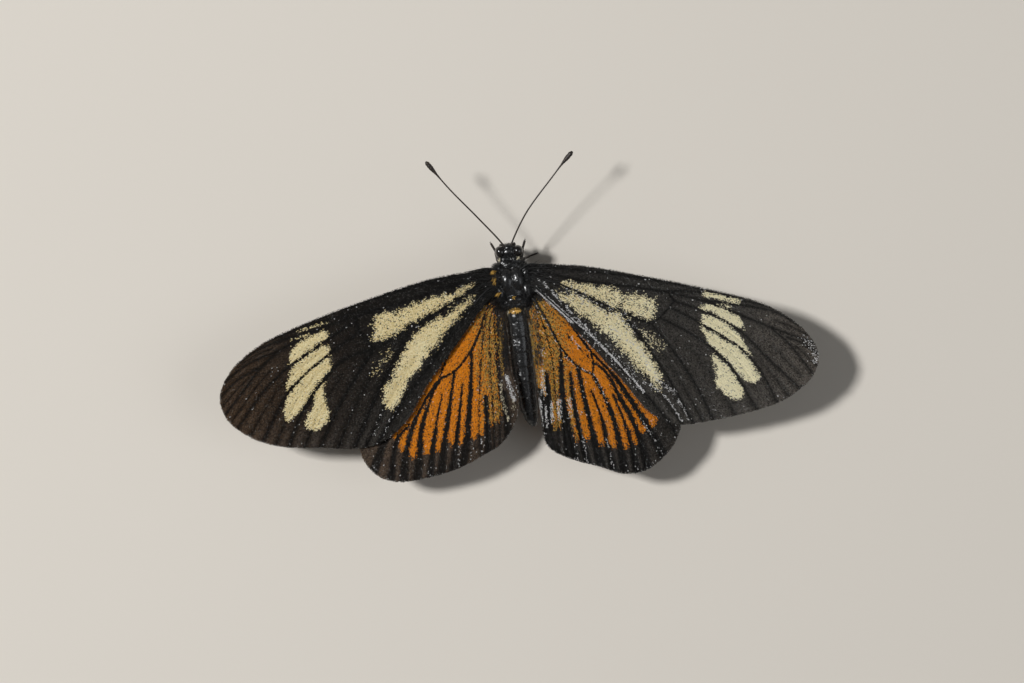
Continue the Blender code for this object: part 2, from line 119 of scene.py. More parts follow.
# Each wing's edge, from its root along the front, round the tip and back along the rear edge.
EDGE = {
    "forewing_left": [
        (-0.8, 1.5), (-2.0, 1.85), (-3.6, 1.8), (-7.3, 1.6), (-12.9, 0.6), (-18.5, -0.7),
        (-23.2, -2.2), (-26.0, -4.0), (-27.2, -5.6), (-27.6, -6.8), (-27.1, -8.8), (-25.1, -10.7),
        (-22.7, -11.8), (-19.2, -12.4), (-15.8, -12.9), (-14.1, -12.8), (-12.5, -12.2), (-10.7, -10.8),
        (-8.6, -8.0), (-5.4, -4.7), (-2.6, -1.7), (-1.6, -1.0), (-0.8, -0.8),
    ],
    "forewing_right": [
        (0.8, 1.5), (1.7, 1.75), (2.7, 1.6), (6.3, 1.0), (11.5, -0.6), (16.7, -2.4), (21.9, -4.5),
        (24.4, -6.3), (25.8, -7.9), (26.5, -9.6), (26.4, -10.7), (25.5, -12.1), (22.9, -13.7),
        (19.6, -14.4), (15.9, -14.7), (13.4, -14.7), (11.9, -14.1), (10.5, -13.2), (8.4, -10.0),
        (5.4, -5.7), (2.4, -1.8), (1.5, -1.0), (0.8, -0.8),
    ],
    "hindwing_left": [
        (-0.7, -0.5), (-2.0, -0.4), (-4.0, -0.9), (-8.0, -3.6), (-11.6, -6.7), (-14.5, -9.9),
        (-15.7, -12.0), (-15.7, -13.1), (-15.3, -14.4), (-14.1, -15.8), (-12.4, -16.4), (-10.2, -16.4),
        (-7.0, -15.9), (-4.3, -14.9), (-3.0, -14.3), (-1.9, -13.3), (-1.0, -11.8), (-0.7, -10.7),
        (-0.7, -9.1), (-0.95, -7.8), (-0.85, -4.9), (-0.8, -2.8), (-0.6, -1.9),
    ],
    "hindwing_right": [
        (0.7, -0.5), (1.9, -0.3), (3.4, -0.9), (7.2, -4.3), (10.4, -8.3), (12.7, -11.8), (13.4, -14.7),
        (13.1, -15.4), (12.2, -16.7), (10.0, -18.2), (7.7, -18.4), (5.6, -17.5), (2.6, -16.2),
        (1.0, -14.9), (0.8, -13.8), (0.8, -11.6), (0.85, -8.4), (0.85, -4.8), (0.8, -2.8), (0.6, -1.9),
    ],
}

# The veins, each from where it leaves the root or another vein to the wing's edge.
VEINS = {
    "forewing_left": {
        "costa": [(-0.8, 1.2), (-2.0, 1.7), (-3.6, 1.65), (-7.3, 1.45), (-12.9, 0.45), (-18.5, -0.85)],
        "subcosta": [(-0.8, 0.9), (-2.1, 1.2), (-5.5, 1.2), (-10.1, 0.8), (-15.7, -0.2), (-20.6, -1.4)],
        "radius": [
            (-0.8, 0.6), (-2.1, 0.8), (-5.6, 0.6), (-9.2, -0.2), (-13.1, -0.8), (-17.7, -1.7),
            (-21.5, -3.1),
        ],
        "radius_1": [(-12.0, -0.6), (-14.8, -0.7), (-17.6, -1.1), (-22.6, -2.1)],
        "radius_2": [(-17.7, -1.7), (-20.5, -2.1), (-23.1, -2.7), (-25.4, -3.8)],
        "radius_3": [(-21.5, -3.1), (-24.4, -3.9), (-27.0, -5.4)],
        "radius_4": [(-23.4, -4.4), (-25.5, -5.2), (-27.3, -6.6)],
        "radius_5": [(-21.5, -3.1), (-23.4, -4.5), (-25.2, -6.3), (-27.0, -8.1)],
        "cell_end": [(-14.1, -1.0), (-14.3, -1.6), (-14.0, -2.5), (-13.0, -4.0)],
        "media_1": [
            (-14.3, -1.4), (-17.2, -2.75), (-18.7, -3.6), (-20.5, -4.45), (-23.3, -6.5), (-26.2, -9.6),
        ],
        "media_2": [
            (-14.1, -2.4), (-17.2, -4.05), (-19.8, -5.75), (-21.3, -7.05), (-22.9, -9.3),
            (-24.3, -11.4),
        ],
        "media_3": [
            (-13.0, -4.0), (-16.0, -4.75), (-17.7, -6.1), (-19.5, -8.0), (-20.6, -9.5), (-22.0, -12.2),
        ],
        "cubitus": [(-0.8, 0.3), (-2.1, 0.4), (-5.1, -0.7), (-8.7, -2.4), (-13.0, -4.0)],
        "cubitus_1": [(-13.0, -4.0), (-15.5, -7.0), (-17.3, -9.4), (-19.1, -12.4)],
        "cubitus_2": [(-9.7, -2.8), (-10.9, -4.7), (-13.1, -7.8), (-16.0, -12.8)],
        "anal": [(-0.8, 0.0), (-2.1, -0.1), (-5.2, -2.9), (-8.3, -6.2), (-11.0, -9.0), (-14.0, -12.7)],
    },
    "forewing_right": {
        "costa": [(0.8, 1.2), (1.7, 1.6), (2.7, 1.45), (6.3, 0.85), (11.5, -0.75), (16.7, -2.55)],
        "subcosta": [(0.8, 0.9), (1.9, 1.2), (6.2, 0.4), (11.4, -1.0), (15.8, -2.4), (20.3, -4.0)],
        "radius": [(0.8, 0.6), (1.9, 0.8), (6.1, -0.5), (11.3, -1.9), (16.5, -3.7), (22.3, -6.9)],
        "radius_1": [(12.5, -2.3), (16.6, -3.0), (20.1, -4.2), (23.0, -5.3)],
        "radius_2": [(16.5, -3.7), (19.6, -4.5), (23.1, -5.7), (25.1, -7.3)],
        "radius_3": [(22.3, -6.9), (24.4, -8.0), (26.3, -9.0)],
        "radius_4": [(23.7, -8.0), (25.1, -8.8), (26.5, -10.0)],
        "radius_5": [(22.3, -6.9), (24.0, -8.9), (25.7, -11.8)],
        "cell_end": [(13.7, -2.8), (14.0, -3.4), (13.5, -4.0), (11.8, -5.2)],
        "media_1": [(14.0, -3.4), (16.4, -4.6), (19.4, -6.7), (22.0, -10.0), (24.4, -12.9)],
        "media_2": [(13.6, -3.9), (16.4, -5.9), (19.5, -8.5), (21.0, -10.8), (22.1, -13.8)],
        "media_3": [(12.6, -4.7), (15.4, -6.7), (17.8, -9.1), (20.3, -14.3)],
        "cubitus": [(0.8, 0.3), (1.9, 0.4), (5.1, -1.1), (8.4, -3.3), (11.8, -5.2)],
        "cubitus_1": [(11.8, -5.2), (13.4, -7.8), (15.0, -11.1), (16.3, -14.7)],
        "cubitus_2": [(9.4, -4.0), (10.7, -6.3), (12.3, -9.4), (14.5, -14.7)],
        "anal": [
            (0.8, 0.0), (1.9, -0.5), (2.7, -1.4), (5.0, -4.1), (7.6, -7.2), (10.3, -11.1),
            (12.3, -14.2),
        ],
    },
    "hindwing_left": {
        "radial": [(-0.7, -0.9), (-2.4, -1.2), (-4.2, -2.5), (-8.6, -4.8), (-12.5, -9.0), (-15.3, -12.6)],
        "media_1": [(-4.2, -2.5), (-6.1, -4.7), (-9.4, -7.3), (-12.1, -10.7), (-14.8, -15.3)],
        "cell_end": [(-6.1, -4.7), (-7.0, -6.3), (-7.6, -7.5)],
        "cubitus": [(-0.7, -1.2), (-2.3, -1.7), (-3.4, -3.7), (-4.4, -5.3), (-6.2, -7.0), (-7.6, -7.5)],
        "media_2": [
            (-7.6, -7.5), (-8.6, -8.6), (-10.2, -10.8), (-11.1, -12.7), (-11.5, -13.8), (-12.1, -16.4),
        ],
        "media_3": [(-7.5, -7.6), (-8.3, -8.6), (-9.8, -11.8), (-10.2, -13.7), (-10.9, -16.6)],
        "cubitus_1": [(-6.2, -7.1), (-6.9, -9.6), (-7.3, -11.1), (-7.9, -13.1), (-8.7, -16.4)],
        "cubitus_2": [(-4.4, -5.3), (-4.7, -7.4), (-5.5, -11.4), (-5.9, -13.3), (-6.8, -15.9)],
        "anal_1": [(-0.7, -1.5), (-2.2, -1.8), (-3.1, -3.9), (-4.1, -8.5), (-4.7, -12.5), (-4.8, -15.2)],
        "anal_2": [(-0.7, -1.7), (-2.1, -2.2), (-2.9, -6.7), (-3.2, -10.7), (-3.6, -14.8)],
        "anal_3": [(-1.2, -1.8), (-1.8, -2.2), (-2.3, -6.7), (-2.6, -10.7), (-3.1, -14.7)],
    },
    "hindwing_right": {
        "radial": [(0.7, -0.8), (2.1, -1.1), (6.4, -4.9), (9.3, -9.2), (12.6, -14.9)],
        "media_1": [
            (3.7, -2.5), (6.1, -6.8), (7.8, -9.2), (8.7, -10.9), (9.6, -12.8), (10.7, -15.3),
            (11.7, -18.0),
        ],
        "cell_end": [(6.1, -7.0), (6.2, -7.9), (6.0, -8.9)],
        "cubitus": [(0.7, -1.1), (1.5, -1.4), (2.6, -3.7), (3.5, -6.1), (4.8, -8.1), (6.0, -8.9)],
        "media_2": [
            (6.2, -7.9), (6.8, -8.4), (7.3, -9.1), (8.1, -11.2), (8.9, -13.2), (9.5, -15.7),
            (9.8, -18.3),
        ],
        "media_3": [(6.0, -8.9), (6.7, -10.8), (7.3, -13.0), (7.6, -15.5), (7.7, -18.5)],
        "cubitus_1": [(4.8, -8.1), (4.9, -10.0), (5.3, -13.8), (5.8, -17.8)],
        "cubitus_2": [(3.5, -6.2), (3.1, -10.5), (3.3, -13.8), (3.6, -17.0)],
        "anal_1": [(0.7, -1.4), (1.5, -1.8), (2.5, -5.9), (2.5, -9.9), (2.3, -13.9), (2.1, -16.0)],
    },
}

# Folds of the membrane between veins, which end at the wing's edge.
FOLDS = {
    "hindwing_left": [
        [(-10.8, -11.2), (-12.1, -12.5), (-13.2, -16.3)],
        [(-7.5, -8.9), (-8.1, -10.5), (-9.1, -13.9), (-9.7, -16.7)],
        [(-5.6, -8.2), (-6.1, -10.3), (-7.1, -14.2), (-7.7, -16.2)],
        [(-3.7, -9.6), (-3.9, -12.1), (-4.2, -15.0)],
        [(-2.0, -9.4), (-2.1, -11.6), (-2.3, -13.9)],
    ],
    "hindwing_right": [
        [(4.1, -8.5), (4.0, -10.6), (4.2, -13.7), (4.6, -17.3)],
        [(5.7, -10.3), (6.3, -13.0), (6.5, -15.3), (6.8, -18.2)],
        [(7.6, -11.0), (8.2, -13.3), (8.6, -15.5), (8.8, -18.4)],
        [(1.2, -9.7), (1.3, -11.3), (1.1, -13.1), (1.2, -15.3)],
        [(1.9, -8.3), (1.9, -9.8), (1.6, -13.1), (1.7, -15.7)],
        [(3.0, -10.5), (2.9, -13.0), (2.9, -16.4)],
    ],
}
FOLD_PAIRS = {
    "forewing": [
        ("radius_2", "radius_3"), ("radius_4", "radius_5"), ("radius_5", "media_1"),
        ("media_1", "media_2"), ("media_2", "media_3"), ("media_3", "cubitus_1"),
        ("cubitus_1", "cubitus_2"), ("cubitus_2", "anal"),
    ],
    "hindwing": [],
}
FOLD_REACH = 0.75

# Where scales of another colour grow: colour, share of the scales there, width of ragged edge, outline.
PATCHES = {
    "forewing_left": [
        ("straw", 0.9, 0.7, [
            (-3.4, 0.4), (-4.8, 0.0), (-6.6, -0.2), (-8.5, -0.5), (-9.9, -1.0), (-11.0, -1.1),
            (-12.1, -1.1), (-12.7, -2.0), (-12.7, -2.9), (-12.9, -3.4), (-11.6, -3.3), (-10.1, -2.6),
            (-9.6, -2.3), (-7.7, -1.6), (-5.8, -0.8), (-4.0, 0.0),
        ]),
        ("straw", 0.96, 0.7, [
            (-3.6, -0.6), (-5.9, -1.8), (-7.8, -2.5), (-9.6, -3.6), (-10.6, -5.1), (-12.0, -7.1),
            (-12.8, -8.5), (-12.3, -9.6), (-11.2, -8.5), (-9.9, -6.9), (-8.6, -5.5), (-7.1, -4.1),
            (-5.6, -2.7), (-4.2, -1.4),
        ]),
        ("straw", 0.22, 0.8, [
            (-11.7, -4.2), (-12.3, -4.6), (-12.9, -5.6), (-13.3, -6.3), (-13.0, -6.4), (-12.2, -5.5),
            (-11.5, -5.0),
        ]),
        ("straw", 0.97, 0.36, [
            (-17.0, -1.9), (-17.0, -2.5), (-18.9, -3.5), (-20.2, -4.3), (-20.6, -4.5), (-20.5, -3.6),
            (-19.4, -2.6), (-17.7, -2.0),
        ]),
        ("straw", 0.97, 0.36, [
            (-17.2, -3.1), (-17.0, -3.9), (-18.8, -5.0), (-20.5, -6.3), (-21.3, -6.6), (-20.8, -5.4),
            (-20.8, -5.0), (-19.4, -4.1), (-17.4, -3.1),
        ]),
        ("straw", 0.97, 0.36, [
            (-17.1, -4.3), (-17.0, -5.3), (-18.4, -6.4), (-19.6, -7.8), (-20.9, -9.1), (-21.5, -9.4),
            (-21.8, -8.7), (-21.2, -7.3), (-19.8, -5.9), (-17.9, -4.6),
        ]),
        ("straw", 0.96, 0.4, [
            (-17.7, -6.4), (-18.0, -7.0), (-17.9, -8.3), (-17.9, -9.6), (-18.9, -10.5), (-19.9, -10.3),
            (-20.0, -9.8), (-19.2, -8.6), (-18.8, -7.4), (-18.4, -6.8),
        ]),
    ],
    "forewing_right": [
        ("straw", 0.82, 0.7, [
            (4.4, -0.4), (6.0, -0.7), (7.8, -1.3), (9.3, -1.9), (9.3, -3.0), (8.6, -3.3), (7.3, -2.5),
            (5.9, -1.5), (4.4, -0.6),
        ]),
        ("straw", 0.82, 0.7, [
            (9.5, -2.4), (11.2, -2.5), (12.2, -3.1), (12.0, -4.6), (10.8, -4.4), (9.4, -3.6),
        ]),
        ("straw", 0.87, 0.8, [
            (3.8, -1.1), (5.9, -2.0), (7.5, -3.2), (9.2, -4.3), (10.1, -5.8), (11.2, -7.8),
            (11.9, -10.2), (11.8, -11.1), (10.9, -10.0), (9.7, -8.3), (8.6, -6.8), (7.4, -5.2),
            (6.1, -3.9), (5.1, -2.7), (4.1, -1.6),
        ]),
        ("straw", 0.22, 0.6, [(10.8, -5.5), (11.7, -5.9), (12.7, -7.5), (12.3, -7.9), (11.1, -6.6)]),
        ("straw", 0.96, 0.4, [
            (16.8, -3.9), (19.1, -5.1), (20.0, -6.2), (19.9, -6.6), (18.7, -6.1), (17.1, -4.8),
            (16.4, -4.5),
        ]),
        ("straw", 0.96, 0.4, [
            (16.5, -5.0), (18.2, -5.9), (19.4, -7.2), (20.3, -9.2), (19.2, -8.3), (17.7, -6.9),
            (16.3, -5.7),
        ]),
        ("straw", 0.96, 0.4, [
            (16.2, -6.1), (17.8, -7.2), (19.4, -8.6), (20.6, -10.5), (20.8, -11.3), (20.2, -11.7),
            (19.6, -11.5), (18.3, -9.4), (16.7, -7.7),
        ]),
        ("straw", 0.96, 0.4, [
            (16.9, -8.7), (17.9, -9.7), (18.8, -11.2), (19.2, -12.6), (18.4, -13.0), (17.4, -12.1),
            (16.7, -11.1), (17.0, -10.5), (16.8, -9.1),
        ]),
    ],
    "hindwing_left": [
        ("orange", 0.91, 0.4, [
            (-2.1, -1.2), (-4.6, -2.4), (-6.8, -4.2), (-8.6, -5.6), (-10.2, -7.8), (-11.9, -10.2),
            (-12.6, -11.8), (-12.0, -12.8), (-11.8, -13.5), (-11.4, -13.8), (-10.9, -14.1),
            (-10.4, -14.1), (-10.1, -13.8), (-9.6, -14.0), (-9.1, -13.8), (-8.6, -13.9), (-8.1, -13.7),
            (-7.6, -13.2), (-7.2, -13.5), (-6.8, -13.3), (-6.4, -13.6), (-5.9, -13.2), (-5.2, -13.1),
            (-4.7, -12.8), (-4.3, -12.9), (-3.8, -12.4), (-3.2, -12.1), (-2.7, -11.8), (-2.5, -10.7),
            (-2.4, -7.7), (-2.0, -4.8), (-1.8, -2.3),
        ]),
    ],
    "hindwing_right": [
        ("orange", 0.91, 0.4, [
            (1.9, -1.6), (4.6, -2.6), (6.6, -5.0), (8.4, -7.4), (9.8, -9.6), (11.0, -11.8),
            (11.4, -13.2), (10.9, -14.2), (10.3, -14.4), (9.9, -14.7), (9.5, -14.8), (9.1, -15.6),
            (8.7, -15.6), (8.1, -15.8), (7.6, -15.6), (7.0, -15.6), (6.5, -15.4), (6.0, -15.3),
            (5.6, -14.9), (5.1, -14.7), (4.6, -14.6), (4.2, -14.6), (3.8, -14.6), (3.5, -14.0),
            (2.8, -13.6), (1.9, -13.4), (1.4, -13.2), (0.8, -13.2), (0.9, -11.2), (1.0, -8.2),
            (1.0, -5.2), (1.2, -2.7),
        ]),
    ],
}

# Narrow streaks of coloured scales, and of white scales that are painted highlights along veins, folds and
# ribs: colour, share of the scales, half-width, ragged edge, line.
STREAKS = {
    "forewing_left": [
        ("straw", 0.5, 0.04, 0.15, [(-17.0, -1.2), (-19.5, -1.6)]),
        ("straw", 0.4, 0.04, 0.12, [(-18.6, -2.0), (-20.2, -2.3)]),
        ("silver", 0.9, 0.03, 0.06, [(-8.7, -2.6), (-9.3, -2.5)]),
        ("silver", 0.2, 0.02, 0.1, [(-12.6, -9.2), (-13.6, -10.6), (-14.1, -11.6)]),
        ("silver", 0.15, 0.02, 0.1, [(-11.6, -9.4), (-12.6, -10.8), (-13.2, -11.8)]),
    ],
    "forewing_right": [
        ("straw", 0.8, 0.12, 0.2, [(16.9, -3.2), (19.7, -4.25)]),
        ("straw", 0.4, 0.06, 0.15, [(18.3, -4.3), (19.0, -4.6)]),
        ("silver", 0.95, 0.05, 0.05, [(1.9, -0.5), (3.8, -2.7), (6.0, -5.1), (8.6, -8.5), (10.3, -11.1)]),
        ("silver", 0.9, 0.11, 0.08, [(2.0, -0.7), (3.4, -2.3), (4.9, -4.0)]),
        ("silver", 0.8, 0.04, 0.05, [(2.1, 0.4), (3.1, -0.8), (4.8, -3.2), (6.2, -4.9)]),
        ("silver", 0.12, 0.1, 0.7, [(6.1, -5.2), (7.3, -6.7), (8.6, -8.3), (9.8, -10.2)]),
        ("silver", 0.3, 0.05, 0.25, [
            (8.1, -4.8), (9.2, -6.1), (10.2, -7.2), (11.1, -8.7), (11.8, -10.3), (13.0, -11.5),
        ]),
        ("silver", 0.1, 0.1, 0.7, [(4.7, -1.3), (6.7, -2.6), (9.3, -4.3), (10.0, -5.6)]),
        ("silver", 0.8, 0.03, 0.05, [(10.3, -10.2), (11.7, -11.2), (12.5, -12.4), (13.4, -14.2)]),
        ("silver", 0.8, 0.03, 0.05, [(12.6, -11.0), (13.5, -12.7), (13.9, -14.0)]),
        ("silver", 0.25, 0.05, 0.6, [(25.3, -8.4), (25.9, -9.2), (26.1, -10.4)]),
    ],
    "hindwing_left": [
        ("gold", 0.5, 0.05, 0.2, [(-1.4, -3.0), (-1.8, -5.8), (-1.9, -7.8)]),
        ("silver", 0.9, 0.1, 0.12, [(-1.62, -8.1), (-1.4, -9.4), (-1.27, -10.2)]),
        ("cream", 0.4, 0.03, 0.1, [(-1.27, -10.2), (-1.4, -11.2)]),
        ("cream", 0.5, 0.03, 0.12, [(-2.3, -8.6), (-2.2, -10.2), (-2.0, -12.0)]),
        ("silver", 0.3, 0.02, 0.1, [(-4.6, -13.4), (-4.8, -15.2)]),
        ("silver", 0.15, 0.02, 0.14, [(-5.6, -13.6), (-5.8, -15.7)]),
        ("silver", 0.15, 0.02, 0.12, [(-6.7, -13.8), (-6.9, -15.7)]),
    ],
    "hindwing_right": [
        ("silver", 0.9, 0.02, 0.08, [(1.1, -10.6), (0.95, -13.0)]),
        ("silver", 0.9, 0.03, 0.08, [(1.5, -11.1), (1.35, -13.1)]),
        ("silver", 0.8, 0.04, 0.12, [(2.05, -10.9), (1.85, -12.8)]),
        ("silver", 0.4, 0.08, 0.25, [(2.75, -10.8), (2.6, -12.3)]),
        ("silver", 0.35, 0.08, 0.25, [(3.65, -10.9), (3.6, -12.4)]),
        ("silver", 0.3, 0.05, 0.3, [(1.8, -6.1), (1.5, -8.9), (1.4, -10.3)]),
        ("silver", 0.5, 0.02, 0.08, [(4.5, -5.3), (5.1, -6.3)]),
        ("silver", 0.3, 0.02, 0.08, [
            (1.6, -1.7), (2.5, -3.7), (3.4, -6.1), (4.7, -8.1), (6.0, -8.9), (7.0, -11.7),
        ]),
        ("gold", 0.9, 0.06, 0.15, [(1.1, -3.7), (1.05, -6.2), (0.9, -8.7), (0.85, -10.7)]),
        ("silver", 0.3, 0.02, 0.08, [(9.7, -13.4), (10.7, -15.5), (11.5, -17.4)]),
        ("silver", 0.2, 0.05, 0.15, [(3.6, -14.9), (3.6, -16.6)]),
        ("silver", 0.2, 0.04, 0.15, [(4.4, -14.7), (4.5, -16.7)]),
        ("silver", 0.2, 0.04, 0.15, [(6.5, -14.9), (6.7, -17.6)]),
    ],
}

# Black stripes that leave no orange or gold: half-width, line.
STRIPES = {
    "hindwing_left": [(0.07, [(-1.7, -2.2), (-2.1, -6.7), (-2.3, -10.7)])],
    "hindwing_right": [(0.05, [(4.0, -4.9), (4.9, -6.1), (6.0, -7.5)])],
}

# Half-width of the black on a forewing's veins, and on a hindwing's veins and folds: far from the border,
# what it gains at the border, which lies behind BORDER_BELOW, and the fade. Some keep one half-width.
FOREWING_INK = 0.085
VEIN_INK = (-0.02, 0.52, 6.0)
FOLD_INK = (-0.1, 0.55, 6.0)
BORDER_BELOW = -12.3
LEAST_INK = 0.055
EVEN_INK = {
    "radial": 0.055, "cubitus": 0.1, "cell_end": 0.09, "anal_1": 0.055, "anal_2": 0.055, "anal_3": 0.055,
}
INK_SOFT = 0.05

# How uneven the patches' edges and the painted highlights are, and the size of the unevenness
RAGGED = 0.3
RAGGED_SIZE = 0.4
PAINTED_HIGHLIGHT_EVEN = 0.9
PAINTED_HIGHLIGHT_UNEVEN = 0.3

# Painted shade in the grooves beside veins, and beside folds near the edge
GROOVE_PAINTED_SHADE = 0.75
GROOVE_WIDTH = 0.17
FOLD_GROOVE_LAG = 0.25

# The hindwings' gold, between full and none at these distances from the body's middle
GOLD_REACH = (2.8, 5.0)
GOLD_SHARE = 0.6
ORANGE_LOSS = 0.2

# Single white scales as painted glints: everywhere, more near the edge, and in the fringe, and the scales
# with a glossy coat
PAINTED_GLINTS = 0.002
BORDER_PAINTED_GLINTS = {"forewing": 0.002, "hindwing": 0.006}
PAINTED_GLINT_FADE = 1.5
FRINGE_PAINTED_GLINTS = 0.1
GLOSSY_ABOVE = 0.9

# Brown tone of each wing, partly its own and partly painted warm light, and the painted grey sheen: beside
# the body, and the gain at the tip
BROWN_AND_PAINTED_LIGHT = {
    "forewing_left": (0.05, 1.0), "forewing_right": (0.1, 0.25),
    "hindwing_left": (0.6, 1.5), "hindwing_right": (0.15, 0.15),
}
# Painted light on the pleats: less brown in the grooves, more on the crests
PLEAT_PAINTED_LIGHT = (0.7, 0.6)
# Painted grey sheen of each wing: beside the body, and the gain at the tip
PAINTED_SHEEN_BY_WING = {
    "forewing_left": (0.0, 0.0), "forewing_right": (0.12, 0.85),
    "hindwing_left": (0.2, 0.6), "hindwing_right": (0.1, 0.2),
}
# Painted sheen on the pleats' crests near the edge
PLEAT_PAINTED_SHEEN = 0.45
WING_FIELDS = ("straw", "orange", "gold", "cream", "silver", "ink", "warmth", "haze")

# Body
THORAX_BALLS = [
    ((-0.44, 0.4, 4.05), (0.9, 1.35, 1.38)), ((0.52, 0.4, 4.05), (0.9, 1.35, 1.38)),
    ((0.0, 0.0, 3.75), (1.42, 1.95, 1.35)),
    ((0.0, -0.2, 3.2), (1.0, 1.75, 0.95)), ((0.0, 1.75, 4.0), (1.05, 0.5, 0.85)),
    ((0.0, -1.4, 4.62), (0.82, 0.4, 0.5)), ((0.0, -1.8, 4.0), (0.95, 0.6, 0.8)),
    ((-1.35, 0.85, 4.66), (0.32, 0.8, 0.36)), ((1.35, 0.85, 4.66), (0.32, 0.8, 0.36)),
    ((-1.2, -0.6, 4.6), (0.4, 0.7, 0.4)), ((1.2, -0.6, 4.6), (0.4, 0.7, 0.4)),
    ((-0.75, -1.7, 4.45), (0.4, 0.36, 0.36)), ((0.75, -1.7, 4.45), (0.4, 0.36, 0.36)),
    ((-0.95, 1.5, 4.4), (0.55, 0.5, 0.55)), ((0.95, 1.45, 4.4), (0.55, 0.5, 0.55)),
    ((-0.5, 2.05, 4.25), (0.5, 0.32, 0.45)), ((0.5, 2.05, 4.25), (0.5, 0.32, 0.45)),
]
COXA_PLACES = [(0.42, 1.15), (0.45, 0.25), (0.42, -0.8)]
COXA_LEVEL = 2.75
COXA_HALF = (0.33, 0.36, 0.55)
HEAD_BALLS = [
    ((0.1, 2.93, 3.88), (0.92, 0.58, 0.68)), ((0.1, 3.28, 4.25), (0.5, 0.32, 0.33)),
    ((0.08, 3.36, 3.6), (0.5, 0.3, 0.48)), ((0.04, 2.3, 3.9), (0.75, 0.5, 0.62)),
    ((-0.42, 2.35, 4.3), (0.4, 0.26, 0.34)), ((0.48, 2.3, 4.3), (0.4, 0.26, 0.34)),
]
EYE_HALF = (0.49, 0.53, 0.6)
EYE_CENTRE = {"left": (-0.7, 3.05, 4.12), "right": (0.87, 2.93, 4.12)}
ABDOMEN_AXIS = [(0, -1.9, 3.8), (0, -2.6, 3.6), (0, -5.4, 3.0), (-0.05, -9.0, 2.35), (0.02, -11.6, 2.05),
                (0.28, -13.0, 1.95)]
ABDOMEN_RADIUS = [(0, 0.66), (0.08, 0.9), (0.3, 1.03), (0.6, 0.99), (0.83, 0.84), (0.94, 0.6), (1, 0.22)]
ABDOMEN_SEGMENTS = 8
ABDOMEN_STATIONS = 160
SEGMENT_STEP = 0.06
NARROW_END = 0.4
SKIN_VOXEL = 0.042

# Feelers, legs and mouth parts, each from inside the body outwards
ANTENNAE = {
    "left": [(-0.3, 3.3, 4.3), (-0.42, 3.7, 4.45), (-2.2, 6.2, 5.6), (-4.4, 9.1, 6.4), (-5.6, 10.9, 6.8),
             (-6.24, 11.9, 6.98)],
    "right": [(0.3, 3.3, 4.3), (0.45, 3.7, 4.45), (2.1, 6.2, 5.6), (4.9, 9.1, 6.4), (6.0, 10.2, 6.8),
              (6.92, 11.04, 6.98)],
}
ANTENNA_RADIUS = [
    (0, 0.12), (0.03, 0.12), (0.05, 0.07), (0.8, 0.06), (0.86, 0.09), (0.93, 0.2), (0.98, 0.19), (1, 0.08),
]
ANTENNA_RING = 0.3
LEGS = {
    "foreleg_left": [(-0.4, 1.4, 3.3), (-1.0, 2.3, 2.9), (-1.08, 3.1, 2.9), (-1.45, 3.95, 3.0)],
    "foreleg_right": [(0.4, 1.4, 3.3), (1.1, 2.3, 2.9), (1.3, 3.0, 2.9), (1.64, 3.8, 3.0)],
    "midleg_left": [(-0.5, 0.25, 2.9), (-3.0, 0.5, 3.1), (-4.75, 1.0, 0.3), (-6.4, 1.3, 0.1)],
    "midleg_right": [(0.5, 0.6, 2.9), (1.35, 2.2, 1.9), (1.85, 2.38, 0.3), (2.6, 2.54, 0.1)],
    "hindleg_left": [(-0.42, -0.8, 2.9), (-3.2, -4.0, 3.1), (-4.6, -7.8, 0.35), (-5.6, -11.2, 0.1)],
    "hindleg_right": [(0.42, -0.8, 2.9), (3.2, -4.0, 3.1), (4.6, -7.8, 0.35), (5.6, -11.2, 0.1)],
}
FORELEG_STOUTNESS = 1.5
FEMUR_RADIUS = [(0, 0.13), (0.3, 0.19), (0.8, 0.16), (1, 0.12)]
FEMUR_ARCH = 0.12
TIBIA_RADIUS = [(0, 0.12), (0.5, 0.11), (0.92, 0.12), (1, 0.09)]
TARSUS_RADIUS = 0.085
TARSUS_RINGS = 5
CLAW_RADIUS = [(0, 0.03), (1, 0.008)]
SPINE_PLACES = (0.35, 0.55, 0.75, 0.95)
SPINE_RADIUS = [(0, 0.02), (1, 0.004)]
SPINE_LEAN = (0.16, 0.14)
PALPS = {
    "left": [(-0.3, 3.2, 3.3), (-0.55, 3.45, 2.95), (-0.62, 3.75, 3.2)],
    "right": [(0.35, 3.2, 3.3), (0.6, 3.45, 2.95), (0.66, 3.75, 3.2)],
}
PALP_RADIUS = [(0, 0.15), (0.5, 0.17), (0.85, 0.12), (1, 0.04)]
TONGUE_CENTRE = (0.02, 3.3, 2.45)
TONGUE_COIL = (0.32, 0.1)
TONGUE_TURNS = 2.6
TONGUE_RADIUS = [(0, 0.075), (0.7, 0.075), (1, 0.03)]

# Hair: how many on the body and on each wing's root, and by the kind of place its density, length and lift
HAIRS = 9000
ROOT_HAIRS = 900
THORAX_END = 2.1
THORAX_SIDE = 0.7
HAIR_DENSITY = {"abdomen": 0.45, "thorax": 1.3, "side": 1.8, "head": 0.6, "dome": 0.25, "marks": 4.0}
HAIR_LENGTH = {"head": 0.28, "side": 0.55, "thorax": 0.3, "abdomen": 0.22}
HAIR_LIFT = {"head": 0.45, "side": 0.35, "elsewhere": 0.12}
HAIR_RADIUS = {"marked": 0.035, "plain": 0.016}
BODY_AXIS_LEVEL = 3.6
DOME_ABOVE = 4.85
DOME_SIDE = 1.2
DOME_ALONG = (-1.0, 1.5)

